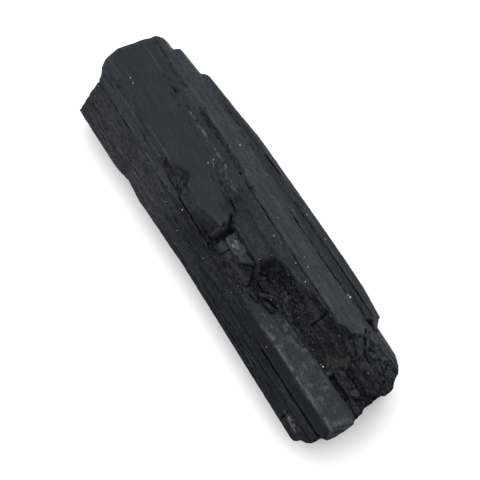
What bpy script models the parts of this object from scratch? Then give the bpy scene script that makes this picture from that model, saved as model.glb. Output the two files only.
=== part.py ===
"""Black tourmaline crystal: one striated rod with a smooth top plate, lying on a flat underside.

The rod is lofted through the long edges of its faces and cut to length by broken end planes. Breaks in its
upper side are cut by blocks whose floors are either smooth or crumbled. +X runs along the rod, +Y is its
stepped back side, and the origin is the middle of its box, at the bottom.
"""

import bmesh
import bpy
import numpy as np
from mathutils import Vector, geometry

MM = 0.001

# Sizes are in millimetres. The rod's length, and a height above all of it that the cutting blocks reach.
LENGTH = 78.0
HALF_LENGTH = LENGTH / 2
SKY = 24.0

# Loft: distance between rings, width of one striation, and how deep a striation is.
RING_STEP = 3.0
STRIA_WIDTH = 0.9
STRIA_DEPTH = 0.13
STRIA_SEED = 11

# The long edges of the rod in order round its section, from the underside's front corner over the top to the
# underside's back corner. Each is a list of (x, y, z), read in between and held past its ends.
FRONT_FOOT = [(-39, -8.0, 0), (0, -8.6, 0), (39, -8.2, 0)]
FRONT_SKIRT = [(-39, -10.6, 2.4), (39, -10.9, 2.4)]
FRONT_KEEL = [(-24, -12.1, 6.2), (-21, -11.5, 6.2), (-17, -11.9, 6.2), (-3, -11.6, 6.2), (34, -12.2, 6.2)]
FRONT_FLANK = [(-10, -9.6, 12.4), (16, -9.0, 11.5)]
FRONT_SHOULDER = [(-26, -8.4, 14.9), (-8, -8.0, 14.9), (10, -7.6, 14.1)]
FRONT_LEDGE = [(-26, -7.0, 16.4), (-8, -6.7, 16.4), (10, -6.4, 15.8)]
PLATE_FRONT = [(-38, -5.0, 17.5), (-33, -5.1, 17.5), (-29, -6.2, 17.5), (-23, -5.7, 17.5)]
PLATE_BACK = [(-39, 1.6, 17.5), (20, 1.6, 17.4)]
CROWN_BACK = [(-39, 3.3, 17.3), (24, 3.3, 17.4)]
BAND_TOP = [(-30, 4.6, 16.9), (-14, 4.4, 17.0), (-4, 3.9, 17.1)]
BAND_FOOT = [(-34.4, 5.4, 15.9), (-34.1, 6.6, 15.9), (-28.4, 7.1, 15.6), (-20, 7.8, 15.5), (20, 7.7, 15.7)]
LEDGE_TOP = [(-34.4, 5.9, 14.3), (-34.1, 7.1, 14.3), (-28.4, 7.6, 14.3), (-28.1, 8.5, 14.3),
             (-14, 9.7, 14.3), (25.0, 9.7, 14.4), (25.4, 8.8, 14.4)]
LEDGE_FOOT = [(-34.4, 6.6, 12.4), (-34.1, 7.5, 12.4), (-28.4, 8.0, 12.4), (-28.1, 9.0, 12.4),
              (-19, 9.9, 12.4), (-14, 10.5, 12.4), (1, 11.0, 12.4), (12, 11.3, 12.4),
              (18, 11.3, 12.4), (24.8, 10.8, 12.4), (25.2, 9.5, 12.4)]
BACK_KEEL = [(-34.4, 7.4, 8), (-34.1, 8.3, 8), (-28.4, 8.8, 8), (-28.1, 9.7, 8), (-19, 10.6, 8),
             (-14, 11.4, 8), (1, 11.9, 8), (12, 12.2, 8), (18, 12.2, 8), (23.5, 11.8, 8), (23.9, 10.4, 8)]
BACK_SKIRT = [(-39, 8.2, 3), (-12, 10.4, 3), (16, 11.2, 3), (39, 9.6, 3)]
BACK_FOOT = [(-39, 6.2, 0), (-12, 8.0, 0), (16, 9.0, 0), (39, 7.8, 0)]
LONG_EDGES = (
    FRONT_FOOT, FRONT_SKIRT, FRONT_KEEL, FRONT_FLANK, FRONT_SHOULDER, FRONT_LEDGE, PLATE_FRONT, PLATE_BACK,
    CROWN_BACK, BAND_TOP, BAND_FOOT, LEDGE_TOP, LEDGE_FOOT, BACK_KEEL, BACK_SKIRT, BACK_FOOT,
)
LEDGE_ENDS = (-34.4, -34.1, -28.4, -28.1, 23.5, 23.9, 24.8, 25.2)

# Planes that end the rod: a point on each, and the direction it faces.
END_PLANES = [
    ((-39.0, -3.0, 9.0), (-1.0, 0.0, -0.22)),
    ((-39.0, -3.0, 5.0), (-1.0, 0.3, -0.75)),
    ((39.0, -5.0, 11.0), (1.0, 0.0, -0.36)),
    ((38.8, -5.0, 12.0), (1.0, 0.05, 0.04)),
    ((34.7, 0.0, 0.0), (1.0, 0.22, -0.27)),
]

BREAK_SEED = 5


def strip(x_from, x_to, y_from, y_to):
    """The outline of a straight slot along the rod."""
    return [(x_from, y_from), (x_to, y_from), (x_to, y_to), (x_from, y_to)]


# Breaks in the rod, as name: (outline seen from above, floor, spacing of the floor's facets, how far they
# stand out of line). A floor is (z at the outline's middle, rise per mm of x, rise per mm of y). Spacing 0 is
# smooth.
THROUGH = (-2.0, 0, 0)
CUTS = {
    "plate_scoop": (
        [(-18.5, -5.6), (-15.4, -5.2), (-13.1, -3.9), (-11.2, -5.0), (-10.6, -5.5), (-7.0, -6.0),
         (-5.4, -5.4), (-3.3, -5.1), (-1.6, -7.4), (-17.8, -7.5)],
        (16.2, 0, 0.7), 0.9, 0.25),
    "cavern": (
        [(-3.7, -1.0), (-0.3, -2.3), (-0.7, -7.3), (-2.2, -7.3), (-2.3, -4.2), (-3.1, -2.0)],
        (12.4, 0, 0), 0.9, 0.5),
    "grain_bed": (
        [(-1.1, -2.5), (6.8, -2.4), (9.2, -5.0), (10.4, -8.3), (-1.3, -8.4)],
        (14.2, 0, -0.1), 1.0, 0.25),
    "low_band": (
        [(-3.9, -0.8), (-2.4, 0.5), (6.7, 0.4), (6.6, -2.9), (-0.5, -2.8)],
        (16.8, 0, 0.05), 0, 0),
    "channel": (
        [(6.2, -3.1), (6.5, 0.3), (7.7, 1.0), (9.8, 1.3), (12.9, 1.8), (15.5, 2.4), (18.1, 2.9), (19.4, 3.0),
         (19.5, -3.3), (17.6, -3.5), (15.1, -4.5), (13.6, -5.3), (12.1, -6.4), (9.5, -7.2), (8.4, -5.6)],
        (14.0, 0, 0.22), 0.9, 0.4),
    "deep_hole": (
        [(12.0, -4.9), (13.0, -3.5), (15.0, -3.0), (15.1, -4.0), (13.6, -4.9), (12.2, -5.8)],
        (11.6, 0, 0), 1.0, 0.3),
    "prism_top": (
        [(9.9, -6.9), (11.9, -6.0), (13.4, -4.9), (14.9, -4.1), (17.4, -3.1), (21.6, -3.0), (42, -2.9),
         (42, -10), (9.9, -10)],
        (14.1, -0.005, -0.02), 0, 0),
    "brown_face": (
        [(19.1, -3.6), (19.2, 3.15), (23.8, 3.4), (26.4, 6.6), (29.8, 5.2), (29.9, -3.4)],
        (15.3, 0.02, 0.28), 1.6, 0.15),
    "end_break": (
        [(26.2, 6.4), (26.7, 8.4), (33.0, 10.2), (36.0, 8.4), (40.0, 5.0), (40.0, -3.2), (29.4, -3.3),
         (28.6, 4.0)],
        (14.8, -0.08, 0.05), 1.1, 0.6),
    "end_slot": (strip(29.7, 34.7, -3.3, -1.8), (12.6, 0, 0), 0, 0),
    "crown_groove": (
        [(-28.2, 1.2), (-23.6, 1.3), (-18.4, 1.5), (-13.0, 1.3), (-10.0, 0.6), (-6.9, 0.4), (-3.7, -1.2),
         (-3.3, -0.8), (-6.7, 0.9), (-9.8, 1.2), (-13.0, 1.9), (-18.4, 2.1), (-28.2, 1.8)],
        (16.9, 0, 0), 0, 0),
    "band_groove": (strip(-6.0, 23.2, 3.1, 3.5), (16.9, 0, 0), 0, 0),
    "front_groove_east": (strip(19.1, 42.0, -9.2, -8.8), (10.4, 0, 0), 0, 0),
    "front_groove_west": (strip(-42.0, -20.0, -8.6, -8.2), (14.1, 0, 0), 0, 0),
    "front_slit": (strip(-10.4, -1.0, -7.65, -7.3), (14.2, 0, 0), 0, 0),
    "front_notch": (strip(29.7, 30.3, -14.0, -10.7), (6.2, 0, 0), 0, 0),
    "back_notch": (
        [(24.5, 8.0), (27.3, 8.3), (27.3, 9.2), (25.5, 9.6), (24.6, 8.9)],
        (13.4, 0, 0), 0, 0),
    "plate_end": (
        [(-39.0, -2.8), (-38.5, -5.4), (-36.6, -7.6), (-36.2, -10.0), (-35.6, -14), (-46, -14), (-46, 14),
         (-34.2, 14), (-34.2, 7.9), (-36.0, 6.0), (-37.0, 5.1), (-37.9, 2.8)],
        THROUGH, 0, 0),
    "front_end": (
        [(37.7, -8.6), (42, -8.6), (42, -14), (34.6, -14), (34.8, -12.0), (36.3, -10.9), (37.5, -10.0)],
        THROUGH, 0, 0),
    "back_end": (
        [(38.3, -2.6), (37.9, -0.6), (37.2, -0.2), (37.1, 3.8), (37.4, 4.2), (37.1, 5.5), (35.9, 7.0),
         (34.9, 8.5), (33.9, 9.2), (32.3, 9.8), (31.0, 11.0), (31.0, 14), (42, 14), (42, -2.6)],
        THROUGH, 0, 0),
}

# Blocks and grains standing in the breaks: (centre, half sizes), each a rough ball of flat facets.
LUMPS = {
    "end_knob": ((34.9, -0.3, 14.6), (1.5, 1.0, 1.2)),
    "end_lump": ((33.3, 3.0, 14.4), (3.4, 2.0, 1.7)),
    "grain": ((1.5, -3.6, 14.0), (2.0, 0.9, 0.9)),
    "block_west": ((0.5, -6.0, 14.0), (1.0, 0.8, 1.0)),
    "block_east": ((2.5, -6.1, 14.0), (0.6, 0.7, 0.9)),
}
LUMP_CORNERS = 26


def along(edge, x):
    """The (y, z) of a long edge at x."""
    xs, ys, zs = zip(*edge)
    return np.array([np.interp(x, xs, ys), np.interp(x, xs, zs)])


def striated_ring(x, depths):
    """The closed section at x: straight faces between the long edges, with a striation at each point."""
    corners = [along(edge, x) for edge in LONG_EDGES]
    points = []
    for start, end, offsets in zip(corners, corners[1:], depths):
        run = end - start
        outward = np.array([-run[1], run[0]]) / np.hypot(*run)
        shares = np.arange(len(offsets)) / len(offsets)
        for share, offset in zip(shares, offsets):
            points.append(start + run * share + outward * offset)
    points.append(corners[-1])
    return [Vector((x, y, z)) * MM for y, z in points]


def striation_depths():
    """For each face, one depth per striation, zero at the face's first edge."""
    rng = np.random.default_rng(STRIA_SEED)
    middle = [along(edge, 0.0) for edge in LONG_EDGES]
    faces = []
    for start, end in zip(middle, middle[1:]):
        count = max(1, round(float(np.hypot(*(end - start))) / STRIA_WIDTH))
        depths = -STRIA_DEPTH * rng.random(count)
        depths[0] = 0.0
        faces.append(depths)
    return faces


def rod_mesh():
    """The lofted rod, a little longer than the crystal, cut by its end planes."""
    reach = HALF_LENGTH + RING_STEP
    regular = np.arange(-reach, reach + 0.1, RING_STEP)
    stations = np.unique(np.concatenate([regular, LEDGE_ENDS]))
    depths = striation_depths()
    bm = bmesh.new()
    rings = [[bm.verts.new(point) for point in striated_ring(x, depths)] for x in stations]
    for near, far in zip(rings, rings[1:]):
        for i in range(len(near)):
            j = (i + 1) % len(near)
            bm.faces.new((near[i], near[j], far[j], far[i]))
    bm.faces.new(reversed(rings[0]))
    bm.faces.new(rings[-1])
    for point, facing in END_PLANES:
        cut = bmesh.ops.bisect_plane(
            bm, geom=bm.verts[:] + bm.edges[:] + bm.faces[:], dist=1e-7,
            plane_co=Vector(point) * MM, plane_no=Vector(facing).normalized(), clear_outer=True,
        )
        rim = [item for item in cut["geom_cut"] if isinstance(item, bmesh.types.BMEdge)]
        bmesh.ops.contextual_create(bm, geom=rim)
    bmesh.ops.recalc_face_normals(bm, faces=bm.faces[:])
    bmesh.ops.triangulate(bm, faces=bm.faces[:])
    mesh = bpy.data.meshes.new("tourmaline_crystal")
    bm.to_mesh(mesh)
    bm.free()
    return mesh


def floor_points(outline, spacing, rng):
    """Scattered points inside an outline, on a jittered grid."""
    corners = np.array(outline)
    low, high = corners.min(0), corners.max(0)
    xs, ys = np.meshgrid(np.arange(low[0], high[0], spacing), np.arange(low[1], high[1], spacing))
    grid = np.stack([xs.ravel(), ys.ravel()], 1)
    return grid + rng.uniform(-0.35, 0.35, grid.shape) * spacing


def cutter(name, outline, floor, spacing, rough):
    """A block above a floor, for cutting. floor is (z at the outline's middle, rise per x, rise per y)."""
    rng = np.random.default_rng([BREAK_SEED, len(outline), round(abs(outline[0][0]) * 10)])
    middle = np.mean(outline, axis=0)
    plan = [Vector(point) for point in outline]
    rim = [(i, (i + 1) % len(plan)) for i in range(len(plan))]
    if spacing:
        plan += [Vector(point) for point in floor_points(outline, spacing, rng)]
    places, _, faces, _, _, _ = geometry.delaunay_2d_cdt(plan, rim, [], 1, 0.01)
    bm = bmesh.new()
    base = []
    for place in places:
        z = floor[0] + floor[1] * (place.x - middle[0]) + floor[2] * (place.y - middle[1])
        base.append(bm.verts.new(Vector((place.x, place.y, z + rough * rng.uniform(-1, 1))) * MM))
    for face in faces:
        bm.faces.new([base[i] for i in reversed(face)])
    lid = {}
    for edge in [edge for edge in bm.edges if edge.is_boundary]:
        for vert in edge.verts:
            if vert not in lid:
                lid[vert] = bm.verts.new((vert.co.x, vert.co.y, SKY * MM))
        a, b = edge.verts
        bm.faces.new((a, b, lid[b], lid[a]))
    top_rim = [edge for edge in bm.edges if edge.is_boundary]
    bmesh.ops.contextual_create(bm, geom=top_rim)
    bmesh.ops.recalc_face_normals(bm, faces=bm.faces[:])
    bmesh.ops.triangulate(bm, faces=bm.faces[:])
    mesh = bpy.data.meshes.new(name)
    bm.to_mesh(mesh)
    bm.free()
    return helper(name, mesh)


def lump(name, centre, half_sizes):
    """A rough ball: the hull of scattered points on an ellipsoid."""
    rng = np.random.default_rng([BREAK_SEED, round(centre[0] * 10) + 500])
    away = rng.normal(size=(LUMP_CORNERS, 3))
    away /= np.linalg.norm(away, axis=1, keepdims=True)
    points = np.array(centre) + away * np.array(half_sizes) * rng.uniform(0.88, 1.0, (LUMP_CORNERS, 1))
    bm = bmesh.new()
    for point in points:
        bm.verts.new(Vector(point) * MM)
    bmesh.ops.convex_hull(bm, input=bm.verts[:])
    loose = [vert for vert in bm.verts if not vert.link_faces]
    bmesh.ops.delete(bm, geom=loose, context="VERTS")
    bmesh.ops.recalc_face_normals(bm, faces=bm.faces[:])
    mesh = bpy.data.meshes.new(name)
    bm.to_mesh(mesh)
    bm.free()
    return helper(name, mesh)


def helper(name, mesh):
    """A shape that only cuts or joins the crystal."""
    obj = bpy.data.objects.new(name, mesh)
    bpy.context.scene.collection.objects.link(obj)
    obj.hide_render = True
    obj.display_type = "WIRE"
    return obj


def combine(body, other, operation):
    """Cut a shape from the body, or join it to the body."""
    modifier = body.modifiers.new(other.name, "BOOLEAN")
    modifier.operation = operation
    modifier.solver = "EXACT"
    modifier.object = other


def black_tourmaline():
    """Near black, with the satin gloss of a worn prism face."""
    material = bpy.data.materials.new("black_tourmaline")
    material.use_nodes = True
    shader = material.node_tree.nodes["Principled BSDF"]
    shader.inputs["Base Color"].default_value = (0.016, 0.018, 0.021, 1)
    shader.inputs["Roughness"].default_value = 0.42
    shader.inputs["Metallic"].default_value = 0.0
    shader.inputs["IOR"].default_value = 1.63
    return material


def main():
    for obj in list(bpy.data.objects):
        bpy.data.objects.remove(obj, do_unlink=True)
    body = bpy.data.objects.new("tourmaline_crystal", rod_mesh())
    bpy.context.scene.collection.objects.link(body)
    body.data.materials.append(black_tourmaline())
    for name, (outline, floor, spacing, rough) in CUTS.items():
        combine(body, cutter(name, outline, floor, spacing, rough), "DIFFERENCE")
    for name, (centre, half_sizes) in LUMPS.items():
        combine(body, lump(name, centre, half_sizes), "UNION")


main()
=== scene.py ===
"""Black tourmaline crystal, lying on a pale studio floor: its fine surface, dust and finish."""

import functools
import math
from typing import NamedTuple

import bpy
import numpy as np
from bpy.props import FloatProperty, FloatVectorProperty, IntProperty, PointerProperty
from bpy.types import Operator, Panel, PropertyGroup
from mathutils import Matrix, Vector


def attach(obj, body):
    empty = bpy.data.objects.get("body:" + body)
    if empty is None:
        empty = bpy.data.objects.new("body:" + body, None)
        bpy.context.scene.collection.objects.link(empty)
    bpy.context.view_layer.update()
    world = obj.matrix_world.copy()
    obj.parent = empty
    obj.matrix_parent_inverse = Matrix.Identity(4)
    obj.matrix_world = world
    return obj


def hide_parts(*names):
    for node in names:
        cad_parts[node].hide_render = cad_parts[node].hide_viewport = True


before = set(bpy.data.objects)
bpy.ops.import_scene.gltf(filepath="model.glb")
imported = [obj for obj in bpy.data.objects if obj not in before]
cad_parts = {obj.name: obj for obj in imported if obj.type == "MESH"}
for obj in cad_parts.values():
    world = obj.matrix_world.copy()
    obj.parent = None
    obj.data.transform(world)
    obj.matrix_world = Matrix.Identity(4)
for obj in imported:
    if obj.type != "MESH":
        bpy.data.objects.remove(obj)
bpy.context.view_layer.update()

bl_info = {
    "name": "Black Tourmaline Crystal",
    "version": (1, 0, 0),
    "blender": (4, 5, 0),
    "location": "3D View > Sidebar > Crystal",
    "description": "Grows a striated black tourmaline rod with broken hollows, dust and a studio floor",
    "category": "Add Mesh",
}

NODE = "tourmaline_crystal"
MM = 0.001

# ------------------------------------------------------------------------------------------------------------
# The rod's form, in millimetres: +X along the rod, +Y its stepped back side, z = 0 the underside.
# ------------------------------------------------------------------------------------------------------------

HALF_LENGTH = 39.0

# The long edges in order round the section, from the underside's front corner over the top to its back
# corner, each with the number of surface lines from it to the next. Each edge is a list of (x, y, z).
LONG_EDGES = (
    ("front_foot", 6, [(-39, -8.0, 0), (0, -8.6, 0), (39, -8.2, 0)]),
    ("front_skirt", 9, [(-39, -10.6, 2.4), (39, -10.9, 2.4)]),
    ("front_keel", 36, [(-24, -12.1, 6.2), (-21, -11.5, 6.2), (-17, -11.9, 6.2), (-3, -11.6, 6.2),
                        (34, -12.2, 6.2)]),
    ("front_flank", 18, [(-10, -9.6, 12.4), (16, -9.0, 11.5)]),
    ("front_shoulder", 14, [(-26, -8.4, 14.9), (-8, -8.0, 14.9), (10, -7.6, 14.1)]),
    ("front_ledge", 12, [(-26, -7.0, 16.4), (-8, -6.7, 16.4), (10, -6.4, 15.8)]),
    ("plate_front", 56, [(-38, -5.0, 17.5), (-33, -5.1, 17.5), (-29, -6.2, 17.5), (-23, -5.7, 17.5)]),
    ("plate_back", 13, [(-39, 1.6, 17.5), (20, 1.6, 17.4)]),
    ("crown_back", 9, [(-39, 3.3, 17.3), (24, 3.3, 17.4)]),
    ("band_top", 24, [(-30, 4.6, 16.9), (-14, 4.4, 17.0), (-4, 3.9, 17.1)]),
    ("band_foot", 16, [(-34.4, 5.4, 15.9), (-34.1, 6.6, 15.9), (-28.4, 7.1, 15.6), (-20, 7.8, 15.5),
                       (20, 7.7, 15.7)]),
    ("ledge_top", 12, [(-34.4, 5.9, 14.3), (-34.1, 7.1, 14.3), (-28.4, 7.6, 14.3), (-28.1, 8.5, 14.3),
                       (-14, 9.7, 14.3), (25.0, 9.7, 14.4), (25.4, 8.8, 14.4)]),
    ("ledge_foot", 11, [(-34.4, 6.6, 12.4), (-34.1, 7.5, 12.4), (-28.4, 8.0, 12.4), (-28.1, 9.0, 12.4),
                        (-19, 9.9, 12.4), (-14, 10.5, 12.4), (1, 11.0, 12.4), (12, 11.3, 12.4),
                        (18, 11.3, 12.4), (24.8, 10.8, 12.4), (25.2, 9.5, 12.4)]),
    ("back_keel", 14, [(-34.4, 7.4, 8), (-34.1, 8.3, 8), (-28.4, 8.8, 8), (-28.1, 9.7, 8), (-19, 10.6, 8),
                       (-14, 11.4, 8), (1, 11.9, 8), (12, 12.2, 8), (18, 12.2, 8), (23.5, 11.8, 8),
                       (23.9, 10.4, 8)]),
    ("back_skirt", 7, [(-39, 8.2, 3), (-12, 10.4, 3), (16, 11.2, 3), (21.9, 10.9, 3), (22.3, 9.9, 3),
                       (39, 9.5, 3)]),
    ("back_foot", 8, [(-39, 6.2, 0), (-12, 8.0, 0), (16, 9.0, 0), (39, 7.8, 0)]),
)

# The plated end, seen from above as (y, x). Lower down it leans back in planes, each given as (x per y, the
# y that counts from, x per millimetre down, the z that counts from), and the furthest back of them holds.
PLATED_END = [
    (-12.5, -36.4), (-11.6, -36.6), (-9.6, -36.5), (-8.0, -36.5), (-7.4, -36.8), (-6.6, -37.8),
    (-5.6, -38.4), (-4.4, -38.7), (-2.8, -39.0), (-1.6, -38.8), (0.1, -38.4), (1.8, -38.2), (3.0, -37.8),
    (4.0, -37.8), (5.1, -37.1), (5.7, -36.3), (6.1, -35.4), (6.5, -34.4), (8.2, -34.2),
]
PLATED_LEANS = ((0.0, 0.0, 0.22, 9.0), (0.3, -3.0, 0.75, 5.0))

# The broken end leans back below. It is given where it would meet the floor, as (y, x), and goes from there
# up the line that moves BROKEN_LEAN_Y and BROKEN_LEAN_X for each millimetre of height, but not past the
# rod's length. Over the prism its upper edge is rubbed back by RUBBED_LEAN for each millimetre above
# RUBBED_FROM, for at most RUBBED_HEIGHT millimetres.
BROKEN_LEAN_Y = -0.19
BROKEN_LEAN_X = 0.311
BROKEN_END = [
    (-11.1, 32.1), (-10.9, 32.8), (-10.2, 33.0), (-9.5, 33.3), (-9.4, 33.8), (-8.9, 34.3), (-7.9, 34.5),
    (-6.5, 34.4), (-6.2, 35.1), (-5.5, 35.5), (-4.2, 35.6), (-1.9, 35.4), (-0.6, 35.2), (-0.2, 34.6),
    (0.5, 34.4), (1.8, 34.1), (2.2, 33.5), (4.0, 33.5), (5.2, 33.1), (6.0, 33.1), (6.5, 33.4), (7.7, 33.3),
    (8.5, 33.0), (9.2, 32.1), (10.0, 31.5), (10.7, 31.1), (11.4, 30.1), (12.0, 28.5),
]
RUBBED_LEAN = 0.18
RUBBED_FROM = 11.6
RUBBED_HEIGHT = 3

# How far along the rod each end's shape pulls the lines with it, and how many rings close an end.
PLATED_REACH = 9.0
BROKEN_REACH = 13.0
END_LINES = 24

# How far the faces stand out to make up for what the striations take away.
EDGE_FULLNESS = 0.1

# Lines across the rod: even spacing in the plain half and in the broken half.
PLAIN_SPACING = 0.45
BROKEN_SPACING = 0.205
BROKEN_FROM = -20.0

# The lines and the grit on the faces, as layers of noise: (height, length along the rod, width round it).
# They have these heights at the usual striation depth.
STRIATIONS = ((0.016, 7, 0.25), (0.024, 15, 0.5), (0.026, 26, 1.1), (0.040, 30, 2.4))
GRIT = ((0.014, 0.5, 0.3), (0.014, 1.6, 0.5))
USUAL_STRIATION_DEPTH = 0.1

# How deep the cracks between the lines and the bites out of the long edges go, and how wide the bites are.
CRACK_DEPTH = 0.07
EDGE_BITE_DEPTH = 0.13
EDGE_BITE_REACH = 0.3

# How far a break has to cut before its floor shows as broken, how steeply a block's sides rise, and how far
# a point may stand out from those round it.
CUT_SHOWS_FROM = 0.04
BLOCK_SIDE = 6.0
SPIKE_LIMIT = 0.15

# How broken and how dull the two ends are; dull also paints them darker, as shade.
END_BROKEN = 0.85
END_DULL_SHADE = 1.0

# What is stored at each point for the finish. broken: crumbled stone. pale: glassy grains and crust, and a
# painted shine and glints. The rubbed tint: rubbed white stone, and painted highlights along edges, on ledges
# and on bright facets. warm: the brownish front, also painted darker as shade. dull: matt sides, painted
# darker as shade. olive: olive stain. plate: smooth bluish faces. hollow: 0 on a ridge, 1 in a groove or
# crack; it paints shade in the grooves and highlights on the ridges. tone: how light a facet of broken stone
# is, which paints light and shade on the facets.
TINTS = ("broken", "pale", "wear", "warm", "dull", "olive", "plate", "hollow", "tone")

# Seeds of the random draws. The rows of a table take theirs in steps of ROW_SEEDS, in the table's order.
ROW_SEEDS = 10
SEEDS = dict(
    striations=21, grit=25, edge_bites=27, pocks=29, cracks=31, dust=41, crumbs=51, plated_end=61,
    broken_end=71, breaks=100, lumps=400, blocks=500, grooves=600, pits=801, patches=900, rubbed_strip=931,
    worn_edges=932, frost=933, tones=951,
)


class Break(NamedTuple):
    """A break in the upper side."""
    floor: tuple  # (z, rise per x, rise per y) about the outline's middle
    wall: float  # how steeply the sides drop
    ragged: float  # how far the rim wanders
    rough: float  # how far the floor's facets stand out
    broken: float  # 1 where the floor is dull crumbled stone, 0 where it is a cleaved face
    outline: list  # seen from above
    split: float = 0  # the share of the floor that is split along the rod
    level: bool = False  # the face carries on over hollows that the breaks before it cut


# In the order they happened. Each takes its seed from its row, so a new one goes last.
BREAKS = {
    "low_band": Break((17.05, 0, 0.05), wall=1.2, ragged=0.05, rough=0.01, broken=0.0, outline=[
        (-3.4, -1.2), (-2.3, 1.1), (6.9, 0.8), (7.3, -3.2), (-0.5, -3.0),
    ]),
    "scoop_west": Break((16.4, 0.03, 0.52), wall=2.2, ragged=0.1, rough=0.4, broken=0.6, outline=[
        (-18.3, -5.8), (-17.1, -5.5), (-15.7, -5.3), (-14.4, -4.6), (-13.3, -3.9), (-12.7, -4.0),
        (-11.8, -4.6), (-11.1, -5.5), (-10.7, -7.5), (-17.6, -7.2),
    ]),
    "scoop_middle": Break((16.3, 0.0, 0.55), wall=2.0, ragged=0.08, rough=0.18, broken=0.4, outline=[
        (-11.6, -5.2), (-11.1, -5.5), (-8.4, -5.9), (-7.1, -6.1), (-6.9, -7.4), (-11.6, -7.4),
    ]),
    "scoop_east": Break(
        (16.0, -0.06, 0.58), wall=2.0, ragged=0.1, rough=0.28, broken=0.65, split=0.15, outline=[
        (-7.4, -6.1), (-5.9, -5.5), (-4.4, -5.2), (-2.7, -4.5), (-1.9, -4.6), (-1.2, -7.4), (-7.2, -7.4),
    ]),
    "cavern": Break((13.9, 0, 0.1), wall=3.0, ragged=0.22, rough=0.5, broken=0.85, split=0.2, outline=[
        (-3.2, -1.8), (-2.8, -1.3), (-1.9, -1.8), (-0.4, -2.6), (-0.6, -7.2), (-1.9, -7.2), (-2.0, -4.3),
        (-2.7, -2.8),
    ]),
    "grain_bed": Break((14.3, 0.0, -0.03), wall=8, ragged=0.06, rough=0.45, broken=0.8, split=0.4, outline=[
        (-1.5, -2.4), (6.9, -2.45), (9.2, -4.6), (9.5, -6.9), (6.7, -7.5), (2.7, -8.0), (0.3, -8.2),
        (-1.6, -7.6),
    ]),
    "channel_west": Break(
        (14.0, 0.0, 0.24), wall=3.0, ragged=0.22, rough=0.85, broken=0.95, split=0.1, outline=[
        (6.6, -3.2), (6.7, -0.8), (7.1, -0.4), (7.7, 0.5), (8.7, 1.1), (9.7, 1.3), (12.8, 1.6),
        (13.2, -5.5), (11.5, -6.5), (9.1, -6.6), (8.4, -5.6),
    ]),
    "channel_east": Break(
        (14.7, 0.0, 0.2), wall=2.4, ragged=0.14, rough=0.7, broken=0.9, split=0.2, outline=[
        (10.8, -6.3), (10.8, 1.3), (12.3, 1.55), (13.8, 1.8), (15.8, 2.4), (17.0, 2.9), (20.9, 3.1),
        (21.1, -4.6), (18.0, -4.8), (16.4, -5.0), (15.0, -5.4), (13.3, -6.0),
    ]),
    "deep_hole": Break((12.8, 0, 0), wall=3, ragged=0.08, rough=0.3, broken=1.0, outline=[
        (12.2, -5.3), (13.1, -4.7), (13.8, -4.3), (15.1, -3.7), (15.1, -3.2), (13.9, -3.3), (12.9, -4.1),
    ]),
    "brown_face": Break(
        (15.7, 0.0, 0.32), wall=2.4, ragged=0.12, rough=0.42, broken=0.9, split=0.35, outline=[
        (19.2, -4.6), (19.2, 2.9), (20.6, 3.1), (22.2, 3.2), (23.2, 3.4), (24.0, 3.8), (24.3, 4.2),
        (25.9, 4.7), (26.6, 5.4), (30.2, 5.2), (32.0, 4.6), (32.0, -4.6),
    ]),
    "brown_foot": Break(
        (14.2, -0.04, 0.25), wall=3, ragged=0.14, rough=0.65, broken=0.9, split=0.2, outline=[
        (20.5, -4.4), (20.6, -0.6), (23.5, -0.5), (25.6, -1.0), (27.4, -2.4), (27.4, -4.4),
    ]),
    "end_ledges": Break((15.5, -0.03, 0.08), wall=2.5, ragged=0.15, rough=0.85, broken=0.4, outline=[
        (25.6, 3.6), (26.2, 5.0), (26.9, 5.9), (27.4, 6.4), (26.6, 6.9), (27.2, 7.7), (35.0, 8.0),
        (40, 7.0), (40, 2.5), (29.8, 2.7),
    ]),
    "end_break": Break((14.7, -0.1, 0.2), wall=2.5, ragged=0.15, rough=0.8, broken=0.9, outline=[
        (29.6, -4.4), (29.1, -1.0), (29.9, 0.8), (29.3, 2.6), (30.1, 4.4), (34.0, 5.2), (40.0, 4.5),
        (40.0, -4.4),
    ]),
    "end_slot": Break((13.2, 0, 0), wall=9, ragged=0.06, rough=0.1, broken=0.9, outline=[
        (29.7, -2.5), (35.0, -2.4), (34.9, -1.4), (29.7, -1.4),
    ]),
    "prism_top": Break(
        (14.1, -0.006, -0.02), wall=8, ragged=0.03, rough=0.03, broken=0.0, level=True, outline=[
        (9.2, -6.2), (11.5, -5.9), (12.5, -5.2), (13.4, -4.9), (14.6, -4.7), (15.2, -3.9), (16.5, -3.2),
        (18.2, -3.1), (24.6, -2.9), (26.2, -2.6), (42, -2.3), (42, -10), (9.2, -10),
    ]),
    "back_notch": Break((13.6, 0, 0), wall=3, ragged=0.12, rough=0.3, broken=0.7, outline=[
        (24.4, 8.0), (27.3, 8.2), (27.5, 9.1), (25.5, 9.8), (24.8, 9.0),
    ]),
    "front_notch": Break((6.6, 0, 0), wall=12, ragged=0.05, rough=0.1, broken=0.9, outline=[
        (29.7, -10.5), (30.2, -10.6), (30.2, -13.5), (29.75, -13.5),
    ]),
    "tip_chips": Break((17.42, 0, 0.02), wall=1.5, ragged=0.2, rough=0.42, broken=0.35, split=0.6, outline=[
        (-11.6, 0.2), (-11.2, 1.7), (-6.0, 1.8), (-3.2, 1.5), (-3.0, -0.2), (-4.8, -0.8), (-8.0, -0.7),
        (-10.6, -0.4),
    ]),
    "band_chips": Break(
        (17.17, 0, -0.27), wall=1.5, ragged=0.15, rough=0.36, broken=0.3, split=0.6, outline=[
        (-24.0, 3.5), (-20.0, 4.2), (-12.0, 4.3), (-4.4, 4.0), (-4.4, 3.2), (-12.0, 3.1), (-20.0, 3.2),
    ]),
}


class Lump(NamedTuple):
    """A rounded lump or splinter standing in a break."""
    centre: tuple
    half: tuple  # half sizes
    rough: float  # how far its facets stand out
    broken: float
    pale: float
    turn: float = 0.0  # in degrees from +X


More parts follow.
